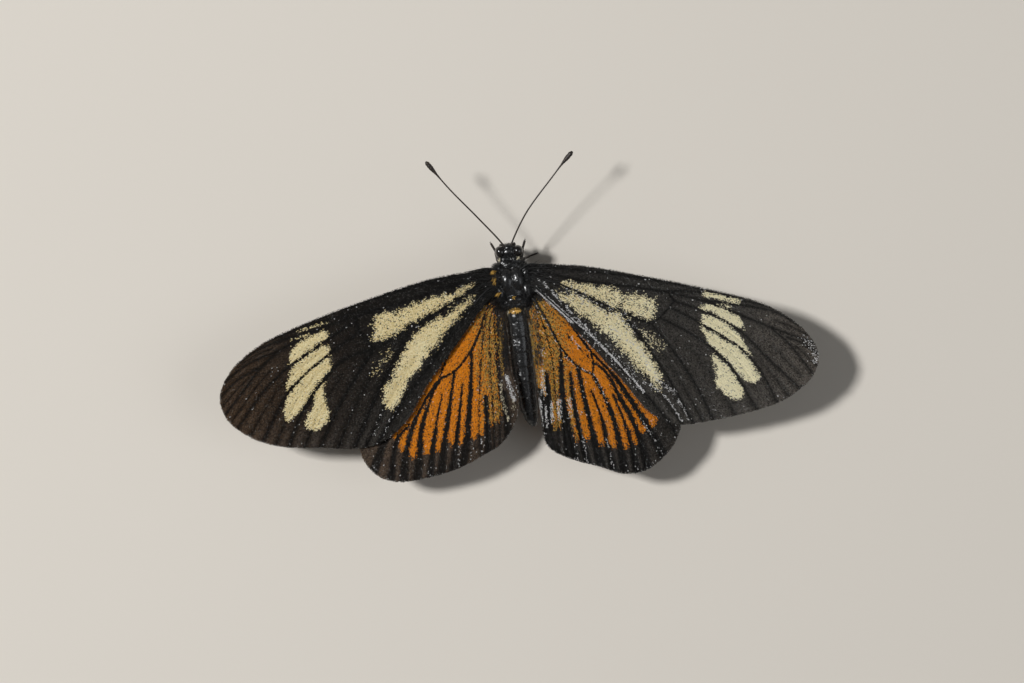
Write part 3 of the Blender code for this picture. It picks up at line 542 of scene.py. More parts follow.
# Hair on a forewing's root and a hindwing's inner margin: place out from and along the body, and make
ROOT_HAIR_FROM = 0.9
ROOT_HAIR_GAMMA = (1.5, 0.6)
ROOT_HAIR_ALONG = (-2.4, 1.9)
MARGIN_HAIR_OUT = (0.9, 1.7)
MARGIN_HAIR_ALONG = (-7.2, -1.0)
ROOT_HAIR_LENGTH = (0.4, 1.1)
ROOT_HAIR_RADIUS = (0.010, 0.018)
ROOT_HAIR_LIFT = (0.02, 0.16)
ROOT_HAIR_TURN = 0.18

# Seeds of the random draws
HAIR_SEED = 11
SCALE_SEED = 5
RAGGED_SEED = 1
PAINTED_HIGHLIGHT_SEED = 3

# Marks of scales on the body, seen from above: colour, share, centre, reach sideways and along
BODY_MARKS = [
    ("gold", 0.7, (-0.1, -2.38), (0.56, 0.24)), ("gold", 0.9, (-1.45, 0.65), (0.07, 0.3)),
    ("gold", 0.9, (-1.23, -0.65), (0.16, 0.08)), ("gold", 0.8, (-0.02, -1.18), (0.13, 0.06)),
    ("gold", 0.8, (-1.4, 1.38), (0.1, 0.12)), ("cream", 0.9, (-0.88, 2.28), (0.12, 0.09)),
    ("cream", 0.9, (0.76, 2.19), (0.12, 0.09)), ("cream", 0.7, (-0.75, -2.4), (0.1, 0.25)),
    ("cream", 0.6, (0.86, -2.3), (0.1, 0.24)), ("cream", 0.9, (-0.6, -7.6), (0.06, 0.1)),
    ("cream", 0.9, (-0.55, -8.2), (0.06, 0.12)), ("cream", 0.9, (-0.5, -8.8), (0.06, 0.12)),
    ("cream", 0.9, (-0.42, -9.35), (0.06, 0.1)),
]
MARKS_ABOVE = 3.4
MARKED = 0.3

# Cells of a scale's size in a millimetre of the wing's skin, where its scales leave it bare
SKIN_CELLS = 9.0

# Colours, as light reflected in red, green and blue
SOOT = (0.0075, 0.0075, 0.0068)
SOOT_DEEP = (0.0030, 0.0028, 0.0026)
BROWN = (0.062, 0.034, 0.016)
# Grey and brown of scattered scales painted as faint glints
PAINTED_FAINT_GLINTS = (0.062, 0.060, 0.055)
PAINTED_FAINT_GLINTS_BROWN = (0.11, 0.075, 0.046)
# Grey and brown of the painted sheen
PAINTED_SHEEN_GREY = (0.130, 0.126, 0.114)
PAINTED_SHEEN_BROWN = (0.145, 0.100, 0.070)
STRAW = (0.66, 0.52, 0.24)
STRAW_PALE = (0.92, 0.85, 0.58)
ORANGE = (0.78, 0.26, 0.010)
ORANGE_DEEP = (0.52, 0.15, 0.006)
GOLD = (0.60, 0.35, 0.07)
# White of the painted highlights and glints
PAINTED_HIGHLIGHT = (0.78, 0.77, 0.76)
CREAM = (0.62, 0.56, 0.40)
CHITIN = (0.0045, 0.0045, 0.0048)
EYE_BLACK = (0.003, 0.003, 0.003)
EYE_BROWN = (0.010, 0.007, 0.006)
FLOOR = (0.62, 0.58, 0.52)

# Floor and light, in metres and watts: each light's place, size, power and colour
FLOOR_SIZE = 3.0
LIGHTS = {
    "key": ((-0.37, 0.15, 0.57), 0.09, 4.8, (1.0, 1.0, 1.0)),
    "fill": ((0.5, -0.2, 0.5), 0.5, 0.9, (0.93, 0.96, 1.0)),
}
SKY_STRENGTH = 0.12


class Socket:
    """One value of a finish's nodes. Arithmetic on it adds Math nodes."""

    def __init__(self, finish, socket):
        self.finish = finish
        self.socket = socket

    def maths(self, operation, *values):
        return self.finish.node("ShaderNodeMath", {"operation": operation}, *values)

    def __add__(self, other):
        return self.maths("ADD", self, other)

    __radd__ = __add__

    def __sub__(self, other):
        return self.maths("SUBTRACT", self, other)

    def __rsub__(self, other):
        return self.maths("SUBTRACT", other, self)

    def __mul__(self, other):
        return self.maths("MULTIPLY", self, other)

    __rmul__ = __mul__

    def above(self, other):
        return self.maths("GREATER_THAN", self, other)


class Finish:
    """A material, built node by node."""

    def __init__(self, name, **even):
        self.material = bpy.data.materials.new(name)
        self.material.use_nodes = True
        self.tree = self.material.node_tree
        self.shader = self.tree.nodes["Principled BSDF"]
        for name, value in even.items():
            self.shader.inputs[name.replace("_", " ").title().replace("Ior", "IOR")].default_value = value

    def node(self, kind, settings, *places, out=0, **named):
        """Adds a node, sets it up, feeds its inputs by place or name, and gives back one of its outputs."""
        made = self.tree.nodes.new(kind)
        for name, value in settings.items():
            setattr(made, name, value)
        inputs = [(made.inputs[i], value) for i, value in enumerate(places) if value is not None]
        inputs += [(made.inputs[name], value) for name, value in named.items()]
        for socket, value in inputs:
            if isinstance(value, Socket):
                self.tree.links.new(value.socket, socket)
            else:
                socket.default_value = value
        return Socket(self, made.outputs[out])

    def attribute(self, name):
        return self.node("ShaderNodeAttribute", {"attribute_name": name}, out="Fac")

    def place(self):
        """The place on the object, in millimetres."""
        spot = self.node("ShaderNodeTexCoord", {}, out="Object")
        return self.node("ShaderNodeVectorMath", {"operation": "SCALE"}, spot, Scale=1 / MM)

    def noise(self, place, per_mm, detail=3.0):
        return self.node("ShaderNodeTexNoise", {}, Vector=place, Scale=per_mm, Detail=detail)

    def cell_depth(self, place, per_mm):
        """How far each place is from the middle of its small cell."""
        return self.node("ShaderNodeTexVoronoi", {}, Vector=place, Scale=per_mm, out="Distance")

    def cells(self, place, per_mm):
        """Two random numbers from 0 to 1, each the same all over one small cell."""
        colour = self.node("ShaderNodeTexVoronoi", {}, Vector=place, Scale=per_mm, out="Color")
        split = self.node("ShaderNodeSeparateColor", {}, colour)
        green = Socket(self, split.socket.node.outputs["Green"])
        return split, green

    def mix(self, share, one, other):
        """A colour between these two."""
        one, other = (c if isinstance(c, Socket) else (*c, 1) for c in (one, other))
        made = self.tree.nodes.new("ShaderNodeMix")
        made.data_type = "RGBA"
        for place, value in ((0, share), (6, one), (7, other)):
            if isinstance(value, Socket):
                self.tree.links.new(value.socket, made.inputs[place])
            else:
                made.inputs[place].default_value = value
        return Socket(self, made.outputs[2])

    def wear(self, **varied):
        """Feeds what changes over the surface to the shader."""
        for name, value in varied.items():
            target = self.shader.inputs[name.replace("_", " ")]
            self.tree.links.new(value.socket, target)

    def bump(self, height, depth, strength=1.0, under=None):
        """A bump this many millimetres deep."""
        named = {"Height": height, "Distance": depth * MM, "Strength": strength}
        if under is not None:
            named["Normal"] = under
        return self.node("ShaderNodeBump", {}, **named)


def select_only(*things):
    bpy.ops.object.select_all(action="DESELECT")
    for thing in things:
        thing.select_set(True)
    bpy.context.view_layer.objects.active = things[0]


def apply_modifiers(thing):
    select_only(thing)
    for modifier in list(thing.modifiers):
        bpy.ops.object.modifier_apply(modifier=modifier.name)


def joined(name, things):
    select_only(*things)
    if len(things) > 1:
        bpy.ops.object.join()
    made = bpy.context.object
    made.name = made.data.name = name
    bpy.ops.object.transform_apply(location=True, rotation=True, scale=True)
    return made


def settle(thing, finish, slot, *nodes):
    """Brings a finished piece to metres and its place, and has it stand for these nodes of the frame."""
    thing.data.transform(Matrix.Translation(PLACE) @ Matrix.Scale(MM, 4))
    if finish is not None:
        thing.data.materials.append(finish.material)
    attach(thing, BODY)
    if nodes:
        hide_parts(*nodes)


def catmull_rom(knots, times, t):
    """The point at t on the curve through the middle two of four knots."""

    def between(a, b, i, j):
        return ((times[j] - t) * a + (t - times[i]) * b) / (times[j] - times[i])

    first, second, third = (between(knots[i], knots[i + 1], i, i + 1) for i in range(3))
    return between(between(first, second, 0, 2), between(second, third, 1, 3), 1, 2)


def smooth_line(points, step):
    """Points about one step apart on a smooth curve through these."""
    knots = np.array(points, float)
    padded = np.vstack([2 * knots[0] - knots[1], knots, 2 * knots[-1] - knots[-2]])
    line = [knots[0]]
    for four in zip(padded, padded[1:], padded[2:], padded[3:]):
        spans = [np.linalg.norm(b - a) ** 0.5 for a, b in zip(four, four[1:])]
        times = np.cumsum([0, *spans])
        parts = max(1, round(float(np.linalg.norm(four[2] - four[1])) / step))
        for i in range(1, parts + 1):
            line.append(catmull_rom(four, times, times[1] + (times[2] - times[1]) * i / parts))
    return np.array(line)


def along(line):
    """How far along a line each of its points lies, from 0 to 1."""
    lengths = np.cumsum([0, *np.linalg.norm(np.diff(line, axis=0), axis=1)])
    return lengths / lengths[-1]


def across(line):
    """The sideways direction at each point of a flat line."""
    ahead = np.gradient(line, axis=0)
    side = np.stack([-ahead[:, 1], ahead[:, 0]], axis=1)
    return side / np.linalg.norm(side, axis=1, keepdims=True)


def inside(points, outline):
    """Which points lie within a closed outline."""
    x, y = points[:, :1], points[:, 1:]
    start, end = outline, np.roll(outline, -1, axis=0)
    rising = (start[:, 1] > y) != (end[:, 1] > y)
    height = np.where(end[:, 1] == start[:, 1], 1, end[:, 1] - start[:, 1])
    crossing = x < start[:, 0] + (end[:, 0] - start[:, 0]) * (y - start[:, 1]) / height
    return (rising & crossing).sum(axis=1) % 2 == 1


def tree_of(places):
    """A search tree of these places in plan."""
    tree = KDTree(len(places))
    for i, (x, y) in enumerate(places):
        tree.insert((x, y, 0), i)
    tree.balance()
    return tree


class Tracks:
    """Many lines on a wing, asked for the nearest place on any of them."""

    def __init__(self, lines, marks=None):
        traced = [smooth_line(line, TRACE_STEP) for line in lines]
        self.points = np.vstack(traced)
        self.marks = np.repeat(marks or [0] * len(lines), [len(line) for line in traced])
        self.tree = tree_of(self.points)

    def nearest(self, places):
        """How far each place is from the lines, and the mark of the nearest line."""
        found = [self.tree.find((x, y, 0)) for x, y in places]
        return np.array([f[2] for f in found]), self.marks[[f[1] for f in found]]


def patchy(places, size, seed):
    """A smooth random field from -1 to 1 with spots of about this size."""
    table = np.random.default_rng(seed).uniform(-1, 1, (64, 64))
    grid = places / size
    low = np.floor(grid).astype(int)
    share = grid - low
    share = share * share * (3 - 2 * share)
    corners = [[table[(low[:, 0] + i) % 64, (low[:, 1] + j) % 64] for j in (0, 1)] for i in (0, 1)]
    near, far = (row[0] * (1 - share[:, 1]) + row[1] * share[:, 1] for row in corners)
    return near * (1 - share[:, 0]) + far * share[:, 0]


def step_up(values, start, end):
    """From 0 at start to 1 at end, easing in and out."""
    share = np.clip((values - start) / (end - start), 0, 1)
    return share * share * (3 - 2 * share)


def line_cover(width, away):
    """How fully a line of this half-width covers the places this far from it."""
    return step_up(width - away, -INK_SOFT, INK_SOFT)


def within_map(shares):
    """Places in a UV map, from 0 to 1 both ways, drawn in from its edge."""
    return BAKE_EDGE + (1 - 2 * BAKE_EDGE) * shares


def kind_of(wing):
    return wing.split("_")[0]


def fold_lines(wing):
    """The wing's folds: those that are drawn, and those midway between two veins."""
    lines = list(FOLDS.get(wing, []))
    for one, other in FOLD_PAIRS[kind_of(wing)]:
        pair = [smooth_line(VEINS[wing][name], TRACE_STEP)[::-1] for name in (one, other)]
        count = int(min(len(line) for line in pair) * FOLD_REACH)
        middle = (pair[0][:count] + pair[1][:count]) / 2
        lines.append(middle[:: -max(1, count // 5)])
    return lines


class Plan:
    """Everything that is drawn on one wing, and the relief and colours that follow from it at any place."""

    def __init__(self, wing):
        self.wing = wing
        self.kind = kind_of(wing)
        edge = smooth_line([*EDGE[wing], EDGE[wing][0]], RIM_STEP)[:-1]
        inward = -across(edge) if self.turn(edge) < 0 else across(edge)
        self.rim = edge + inward * RIM_INSET
        self.outward = -inward
        self.veins = list(VEINS[wing].values())
        self.folds = fold_lines(wing)
        self.margin = Tracks([np.vstack([edge, edge[:1]])[::4]])
        self.border = Tracks([edge[edge[:, 1] < BORDER_BELOW][::4]])
        self.vein_tracks = Tracks(self.veins, [EVEN_INK.get(name, 0.0) for name in VEINS[wing]])
        self.fold_tracks = Tracks(self.folds)

    @staticmethod
    def turn(edge):
        """The outline's area, above 0 where it runs anticlockwise."""
        after = np.roll(edge, -1, axis=0)
        return (edge[:, 0] * after[:, 1] - after[:, 0] * edge[:, 1]).sum() / 2

    def unwrap(self, spots):
        """Where these places lie in the wing's UV map."""
        low, high = self.rim.min(axis=0), self.rim.max(axis=0)
        return within_map((spots[:, :2] - low) / (high - low).max())

    def relief(self, places, from_vein, across_pleat, near_edge):
        """How far the skin rises at these places, by its veins, pleats and sway."""
        x, y = places.T
        near_root = np.exp(-np.linalg.norm(places, axis=1) / ROOT_FADE)
        ridge = np.exp(-((from_vein / VEIN_HALF_WIDTH) ** 2)) * (1 + ROOT_VEIN_GAIN * near_root)
        sway = SWAY * np.sin(x * SWAY_WAVES[0] + 1) * np.sin(y * SWAY_WAVES[1])
        rise = VEIN_RISE * ridge + (PLEAT_RISE + EDGE_PLEAT_RISE * near_edge) * across_pleat + sway
        if self.kind == "hindwing":
            rise = rise - INNER_DIP * (1 - step_up(np.abs(x), *INNER_DIP_REACH))
        return rise

    def patches(self, places):
        """The share of each kind of scale at these places, by the outlined patches alone."""
        found = {name: np.zeros(len(places)) for name in WING_FIELDS}
        for colour, share, soft, outline in PATCHES[self.wing]:
            loop = smooth_line([*outline, outline[0]], TRACE_STEP)
            away, _ = Tracks([loop[::6]]).nearest(places)
            uneven = soft * RAGGED * patchy(places, RAGGED_SIZE, RAGGED_SEED)
            depth = np.where(inside(places, loop), away, -away) + uneven
            cover = share * step_up(depth, -soft / 2, soft / 2)
            found[colour] = np.maximum(found[colour], cover)
        return found

    def ink(self, places, from_vein, from_fold, even):
        """The share of black at these places, by veins, folds and stripes."""
        if self.kind == "forewing":
            found = line_cover(FOREWING_INK, from_vein)
        else:
            from_border, _ = self.border.nearest(places)
            on_vein, on_fold = (a + b * np.exp(-from_border / c) for a, b, c in (VEIN_INK, FOLD_INK))
            on_vein = np.where(even > 0, even, np.maximum(on_vein, LEAST_INK))
            found = np.maximum(line_cover(on_vein, from_vein), line_cover(on_fold, from_fold))
        for width, line in STRIPES.get(self.wing, []):
            away, _ = Tracks([line]).nearest(places)
            found = np.maximum(found, line_cover(width, away))
        return found

    def fields(self, places):
        """The skin's height above the floor, and the share of each kind of scale, at these places."""
        from_vein, even = self.vein_tracks.nearest(places)
        from_fold, _ = self.fold_tracks.nearest(places)
        from_edge, _ = self.margin.nearest(places)
        out = np.clip(np.abs(places[:, 0]) / HALF_SPAN, 0, 1)
        near_edge = np.exp(-from_edge / EDGE_FADE)
        across_pleat = np.sin(np.pi * from_vein / (from_vein + from_fold + LEAST_GAP))
        found = self.patches(places)
        if self.kind == "hindwing":
            inner = 1 - step_up(np.abs(places[:, 0]), *GOLD_REACH)
            found["gold"] = found["orange"] * inner * GOLD_SHARE
            found["orange"] = found["orange"] * (1 - ORANGE_LOSS * inner)
        ink = self.ink(places, from_vein, from_fold, even)
        for name in ("straw", "orange", "gold"):
            found[name] = found[name] * (1 - ink)
        for colour, share, width, soft, line in STREAKS[self.wing]:
            away, _ = Tracks([line]).nearest(places)
            cover = share * step_up(width - away, -soft, 0)
            found[colour] = np.maximum(found[colour], cover)
        # Painted highlights, made uneven in patches
        silver = found["silver"] * (PAINTED_HIGHLIGHT_EVEN + PAINTED_HIGHLIGHT_UNEVEN * patchy(places, RAGGED_SIZE, PAINTED_HIGHLIGHT_SEED))
        # Single painted glints, more near the edge
        painted_glint_share = PAINTED_GLINTS + BORDER_PAINTED_GLINTS[self.kind] * np.exp(-from_edge / PAINTED_GLINT_FADE)
        found["silver"] = np.maximum(silver, painted_glint_share)
        # Painted shade in the grooves, on top of the black of veins, folds and stripes
        groove = np.minimum(from_vein, from_fold + FOLD_GROOVE_LAG * (1 - near_edge))
        found["ink"] = np.maximum(ink, GROOVE_PAINTED_SHADE * np.exp(-((groove / GROOVE_WIDTH) ** 2)))
        # Painted sheen: more towards the tip, and on the pleats' crests near the edge
        grey, more = PAINTED_SHEEN_BY_WING[self.wing]
        found["haze"] = grey + more * out**2 + PLEAT_PAINTED_SHEEN * near_edge**2 * across_pleat**4
        # Brown, partly the wing's own and partly painted light: more towards the tip, on the left wings and
        # on the crests
        warm, gain = BROWN_AND_PAINTED_LIGHT[self.wing]
        least, most = PLEAT_PAINTED_LIGHT
        found["warmth"] = (warm + gain * out**4) * (least + most * across_pleat)
        rise = self.relief(places, from_vein, across_pleat, near_edge)
        return LEVEL[self.kind] + WING_LIFT * out * (2 - out) + rise, found


def spread_out(groups, nearest):
    """The points of all groups, leaving out each that lies too near an earlier one."""
    kept, cells = [], {}
    for x, y in np.vstack(groups):
        i, j = int(x // nearest), int(y // nearest)
        around = (cells.get((a, b)) for a in (i - 1, i, i + 1) for b in (j - 1, j, j + 1))
        if all(p is None or math.dist(p, (x, y)) > nearest for p in around):
            cells[i, j] = (x, y)
            kept.append((x, y))
    return kept


def hexagonal(low, high, step):
    """A grid of points in which each has six at the same distance."""
    rows = np.arange(low[1], high[1], step * math.sqrt(0.75))
    columns = np.arange(low[0], high[0], step)
    grid = np.stack(np.meshgrid(columns, rows), axis=-1)
    grid[1::2, :, 0] += step / 2
    return grid.reshape(-1, 2)


def add_fields(mesh, fields):
    """Keeps one number a point for each of these fields."""
    for field, values in fields.items():
        layer = mesh.attributes.new(field, "FLOAT", "POINT")
        layer.data.foreach_set("value", np.ascontiguousarray(values, np.float32))


def mesh_piece(name, points, faces, fields):
    """An object from arrays of points and triangles, with one number a point for each field."""
    mesh = bpy.data.meshes.new(name)
    mesh.vertices.add(len(points))
    mesh.vertices.foreach_set("co", np.ascontiguousarray(points, np.float32).ravel())
    mesh.loops.add(len(faces) * 3)
    mesh.loops.foreach_set("vertex_index", np.ascontiguousarray(faces, np.int32).ravel())
    mesh.polygons.add(len(faces))
    mesh.polygons.foreach_set("loop_start", np.arange(0, len(faces) * 3, 3, dtype=np.int32))
    mesh.update(calc_edges=True)
    add_fields(mesh, fields)
    made = bpy.data.objects.new(name, mesh)
    bpy.context.scene.collection.objects.link(made)
    return made


def coat_piece(name, points, faces, values, centres, patch):
    """A piece of a coat. Each scale or hair has one number in each field and its own patch in the map."""
    count = len(patch)
    made = mesh_piece(name, points, faces, {field: np.repeat(v, count) for field, v in values.items()})
    spots = np.repeat(centres, count, axis=0) + np.tile(patch, (len(centres), 1)) * BAKE_PATCH
    layer = made.data.uv_layers.new(name="OFBake")
    corners = np.empty(len(made.data.loops), np.int32)
    made.data.loops.foreach_get("vertex_index", corners)
    layer.data.foreach_set("uv", np.ascontiguousarray(spots[corners], np.float32).ravel())
    return made


def membrane(plan):
    """The wing's thin skin: points, triangles and fields, with rows of points along veins and folds."""
    rows = []
    for line in [*plan.veins, *plan.folds]:
        fine = smooth_line(line, LINE_STEP)
        rows += [fine + across(fine) * offset for offset in LINE_ROWS]
    rows = np.vstack(sorted(rows, key=len, reverse=True))
    grid = hexagonal(plan.rim.min(axis=0), plan.rim.max(axis=0), GRID_STEP)
    rim_tracks = Tracks([np.vstack([plan.rim, plan.rim[:1]])[::3]])
    inner = np.array(spread_out([rows, grid], NEAREST))
    inner = inner[inside(inner, plan.rim) & (rim_tracks.nearest(inner)[0] > NEAREST)]
    places = [Vector(p) for p in np.vstack([plan.rim, inner])]
    rim_loop = list(range(len(plan.rim)))
    flat, _, faces, *_ = delaunay_2d_cdt(places, [], [rim_loop], CDT_INSIDE, CDT_TOLERANCE)
    flat = np.array([tuple(p) for p in flat])
    height, fields = plan.fields(flat)
    points = np.column_stack([flat, height])
    faces = np.array([f for f in faces if len(f) == 3])
    return points, faces, fields


def on_surface(points, faces, places):
    """Where these places in plan lie on a sheet, its normals, and its corners and their weights there."""
    tree = BVHTree.FromPolygons(points.tolist(), faces.tolist())
    down = Vector((0, 0, -1))
    hits = [tree.ray_cast(Vector((x, y, RAY_FROM)), down) for x, y in places]
    hits = [h for h in hits if h[0] is not None]
    spots = np.array([tuple(h[0]) for h in hits])
    normals = np.array([tuple(h[1]) for h in hits])
    corners = faces[[h[2] for h in hits]]
    a, b, c = (points[corners[:, i], :2] for i in range(3))
    whole = np.cross(b - a, c - a)
    first = np.cross(b - spots[:, :2], c - spots[:, :2]) / whole
    second = np.cross(c - spots[:, :2], a - spots[:, :2]) / whole
    weights = np.stack([first, second, 1 - first - second], axis=1)
    return spots, normals * np.sign(normals[:, 2:]), corners, weights


def unit(vectors):
    return vectors / np.linalg.norm(vectors, axis=1, keepdims=True)


def scale_shapes(roots, normals, ahead, lengths, widths, lifts, rolls):
    """Small closed shingles, pointed at the root and blunt at the tip, each of four triangles."""
    ahead = unit(ahead - (ahead * normals).sum(axis=1, keepdims=True) * normals)
    beside = np.cross(ahead, normals)
    reach, half, lift = (v[:, None] for v in (lengths, widths / 2, lifts))
    tip = roots + ahead * reach + normals * lift
    crown = roots + ahead * reach * 0.8 + normals * (lift * 0.8 + SCALE_CROWN)
    edge = (beside + normals * rolls[:, None]) * half
    points = np.stack([roots, tip + edge, tip - edge, crown], axis=1).reshape(-1, 3)
    one = np.array([[0, 2, 1], [0, 1, 3], [1, 2, 3], [2, 0, 3]])
    faces = (np.arange(len(roots))[:, None, None] * len(SCALE_PATCH) + one).reshape(-1, 3)
    return points, faces


def laid_scales(plan, points, faces, fields, rng):
    """The upper side's scales, in rows like shingles: how each one lies, and its share of each colour."""
    grid = hexagonal(plan.rim.min(axis=0), plan.rim.max(axis=0), SCALE_STEP)
    grid += rng.normal(0, SCALE_STEP * SCALE_JITTER, grid.shape)
    spots, normals, corners, weights = on_surface(points, faces, grid)
    count = len(spots)
    x, y = (spots[:, :2] - np.array(WING_ROOT)).T
    turn = rng.normal(0, SCALE_TURN, count)
    ahead = np.column_stack([
        x * np.cos(turn) - y * np.sin(turn),
        x * np.sin(turn) + y * np.cos(turn),
        np.zeros(count),
    ])
    lengths = SCALE_LENGTH * rng.uniform(0.8, 1.15, count)
    lifts = SCALE_LIFT * rng.uniform(0.5, 1.6, count)
    lifts[rng.random(count) < RAISED_SHARE] *= RAISED_LIFT
    widths = SCALE_WIDTH * rng.uniform(0.85, 1.1, count)
    values = {name: (fields[name][corners] * weights).sum(axis=1) for name in fields}
    return [spots, normals, ahead, lengths, widths, lifts], values


def laid_fringe(plan, rng):
    """The fringe: narrow scales that point outwards all along the wing's edge."""
    rim = smooth_line(np.vstack([plan.rim, plan.rim[:1]])[::2], FRINGE_STEP)
    rim = rim[np.linalg.norm(rim, axis=1) > FRINGE_FROM]
    edge_tree = tree_of(plan.rim)
    outward = plan.outward[[edge_tree.find((x, y, 0))[1] for x, y in rim]]
    spots = rim - outward * FRINGE_INSET
    height, values = plan.fields(spots)
    # Painted glints in the fringe
    values["silver"] = np.maximum(values["silver"], FRINGE_PAINTED_GLINTS)
    count = len(rim)
    spread = rng.normal(0, FRINGE_SPREAD, (count, 2))
    lengths = FRINGE_LENGTH * rng.uniform(0.6, 1.0, count)
    widths = SCALE_WIDTH * 0.5 * rng.uniform(0.7, 1.2, count)
    lifts = rng.normal(0, 0.03, count)
    spots = np.column_stack([spots, height - FRINGE_DROP])
    ahead = np.column_stack([outward + spread, np.zeros(count)])
    return [spots, np.tile([0, 0, 1.0], (count, 1)), ahead, lengths, widths, lifts], values


def wing_coat(plan, points, faces, fields, finish, rng):
    """The wing's scales and fringe, shared out from body to tip over pieces small enough to keep."""
    scales, values = laid_scales(plan, points, faces, fields, rng)
    fringe, fringe_values = laid_fringe(plan, rng)
    laid = [np.concatenate(pair) for pair in zip(scales, fringe)]
    values = {name: np.concatenate([values[name], fringe_values[name]]) for name in values}
    spots = laid[0]
    for name in ("chance", "tone", "shine"):
        values[name] = rng.random(len(spots))
    laid.append(rng.normal(0, SCALE_ROLL, len(spots)))
    flat = plan.unwrap(spots)
    order = np.argsort(np.abs(spots[:, 0]))
    for i, group in enumerate(np.array_split(order, math.ceil(len(order) / MOST_SCALES))):
        shape = scale_shapes(*(v[group] for v in laid))
        own = {name: v[group] for name, v in values.items()}
        made = coat_piece(f"{plan.wing}_scales_{i + 1}", *shape, own, flat[group], SCALE_PATCH)
        settle(made, finish, plan.kind)


def root_veins(plan, finish):
    """The bare, glossy veins that stand up out of the scales near the root."""
    parts = []
    for name, points in VEINS[plan.wing].items():
        line = smooth_line(points, 0.1)
        reach = ROOT_VEIN_REACH.get((plan.wing, name), ROOT_VEIN_REACH[plan.kind])
        if reach == 0 or np.linalg.norm(line[0]) > ROOT_VEIN_START:
            continue
        line = line[np.linalg.norm(line - line[0], axis=1) < reach][::3]
        height, _ = plan.fields(line)
        parts.append(rod(name, np.column_stack([line, height]), ROOT_VEIN_RADIUS, 0.15))
    if parts:
        settle(joined(plan.wing + "_root_veins", parts), finish, plan.kind)


def root_hair(plan, finish, rng):
    """Long dark hair that lies over a forewing's root, or along a hindwing's inner margin."""
    side = np.sign(plan.rim[:, 0].mean())
    out = ROOT_HAIR_FROM + rng.gamma(*ROOT_HAIR_GAMMA, ROOT_HAIRS)
    along_body = rng.uniform(*ROOT_HAIR_ALONG, ROOT_HAIRS)
    if plan.kind == "hindwing":
        out = rng.uniform(*MARGIN_HAIR_OUT, ROOT_HAIRS)
        along_body = rng.uniform(*MARGIN_HAIR_ALONG, ROOT_HAIRS)
    spots = np.column_stack([side * out, along_body])
    spots = spots[inside(spots, plan.rim)]
    count = len(spots)
    height, _ = plan.fields(spots)
    outward = unit(spots - np.array(WING_ROOT))
    lie = np.column_stack([outward, np.zeros(count)]) + rng.normal(0, ROOT_HAIR_TURN, (count, 3))
    lengths = rng.uniform(*ROOT_HAIR_LENGTH, count)
    radii = rng.uniform(*ROOT_HAIR_RADIUS, count)
    lifts = rng.uniform(*ROOT_HAIR_LIFT, count)
    roots = np.column_stack([spots, height])
    shape = hair_shapes(roots, np.tile([0, 0, 1.0], (count, 1)), lie, lengths, radii, lifts)
    values = {"gold": np.zeros(count), "cream": np.zeros(count), "chance": rng.random(count)}
    made = coat_piece(plan.wing + "_root_hair", *shape, values, plan.unwrap(spots), HAIR_PATCH)
    settle(made, finish, plan.kind)


def wing(name, skin_looks, scale_look, vein_look, hair_look, seed):
    """One wing: its skin, scales and fringe, bare veins, and the hair at its root."""
    plan = Plan(name)
    points, faces, fields = membrane(plan)
    made = mesh_piece(name + "_membrane", points, faces, fields)
    made.data.shade_smooth()
    for look in skin_looks:
        made.data.materials.append(look.material)
    wall = made.modifiers.new("wall", "SOLIDIFY")
    wall.thickness = MEMBRANE
    wall.offset = -1
    wall.material_offset = 1
    apply_modifiers(made)
    settle(made, None, plan.kind, name)
    rng = np.random.default_rng(seed)
    wing_coat(plan, points, faces, fields, scale_look, rng)
    root_veins(plan, vein_look)
    root_hair(plan, hair_look, rng)


def scale_colours(finish, chance, tone, dull=0.0):
    """The colour of one scale: which kind it is by its chance, and how pale by its tone."""
    field = finish.attribute
    # Painted sheen over the black ground, browner where the wing is brown
    painted_sheen_colour = finish.mix(field("warmth"), PAINTED_SHEEN_GREY, PAINTED_SHEEN_BROWN)
    # Brown in the black ground, partly painted light
    ground = finish.mix(field("haze"), finish.mix(field("warmth"), SOOT, BROWN), painted_sheen_colour)
    ground = finish.mix(tone * 1.3 - 0.4, ground, SOOT_DEEP)
    # The scales of lowest tone lighter: painted faint glints
    ground = finish.mix(0.9 - tone * 8, ground, finish.mix(field("warmth"), PAINTED_FAINT_GLINTS, PAINTED_FAINT_GLINTS_BROWN))
    # Black of veins, folds and stripes, and painted shade in the grooves
    ground = finish.mix(field("ink") * 0.85, ground, SOOT_DEEP)
    orange = finish.mix(tone * 1.1 - 0.1, ORANGE, ORANGE_DEEP)
    # Straw paler by tone and by the painted sheen
    straw = finish.mix(tone * 0.8 + field("haze") * 1.5 - 0.1, STRAW, STRAW_PALE)
    colour = finish.mix(field("orange").above(chance), ground, orange)
    colour = finish.mix(field("gold").above(chance * 1.02), colour, finish.mix(tone * 0.6, GOLD, SOOT))
    colour = finish.mix(field("straw").above(chance), colour, straw)
    colour = finish.mix(field("cream").above(chance), colour, CREAM)
    # White scales that are painted highlights and glints
    colour = finish.mix(field("silver").above(1 - chance), colour, finish.mix(tone * 0.4, PAINTED_HIGHLIGHT, SOOT))
    if dull:
        colour = finish.mix(dull, colour, BROWN)
    return colour


def scale_finish(name):
    """The mesh scales of the upper side."""
    finish = Finish(name, specular_ior_level=0.12, coat_roughness=0.2, coat_ior=2.1)
    tone = finish.attribute("tone")
    shine = finish.attribute("shine")
    colour = scale_colours(finish, finish.attribute("chance"), tone)
    ribs = finish.noise(finish.place(), 40.0, detail=1.0)
    finish.wear(
        Base_Color=colour,
        Roughness=0.3 + 0.25 * tone,
        Coat_Weight=shine.above(GLOSSY_ABOVE) * 0.8,
        Normal=finish.bump(ribs, 0.006, 0.5),
    )
    return finish


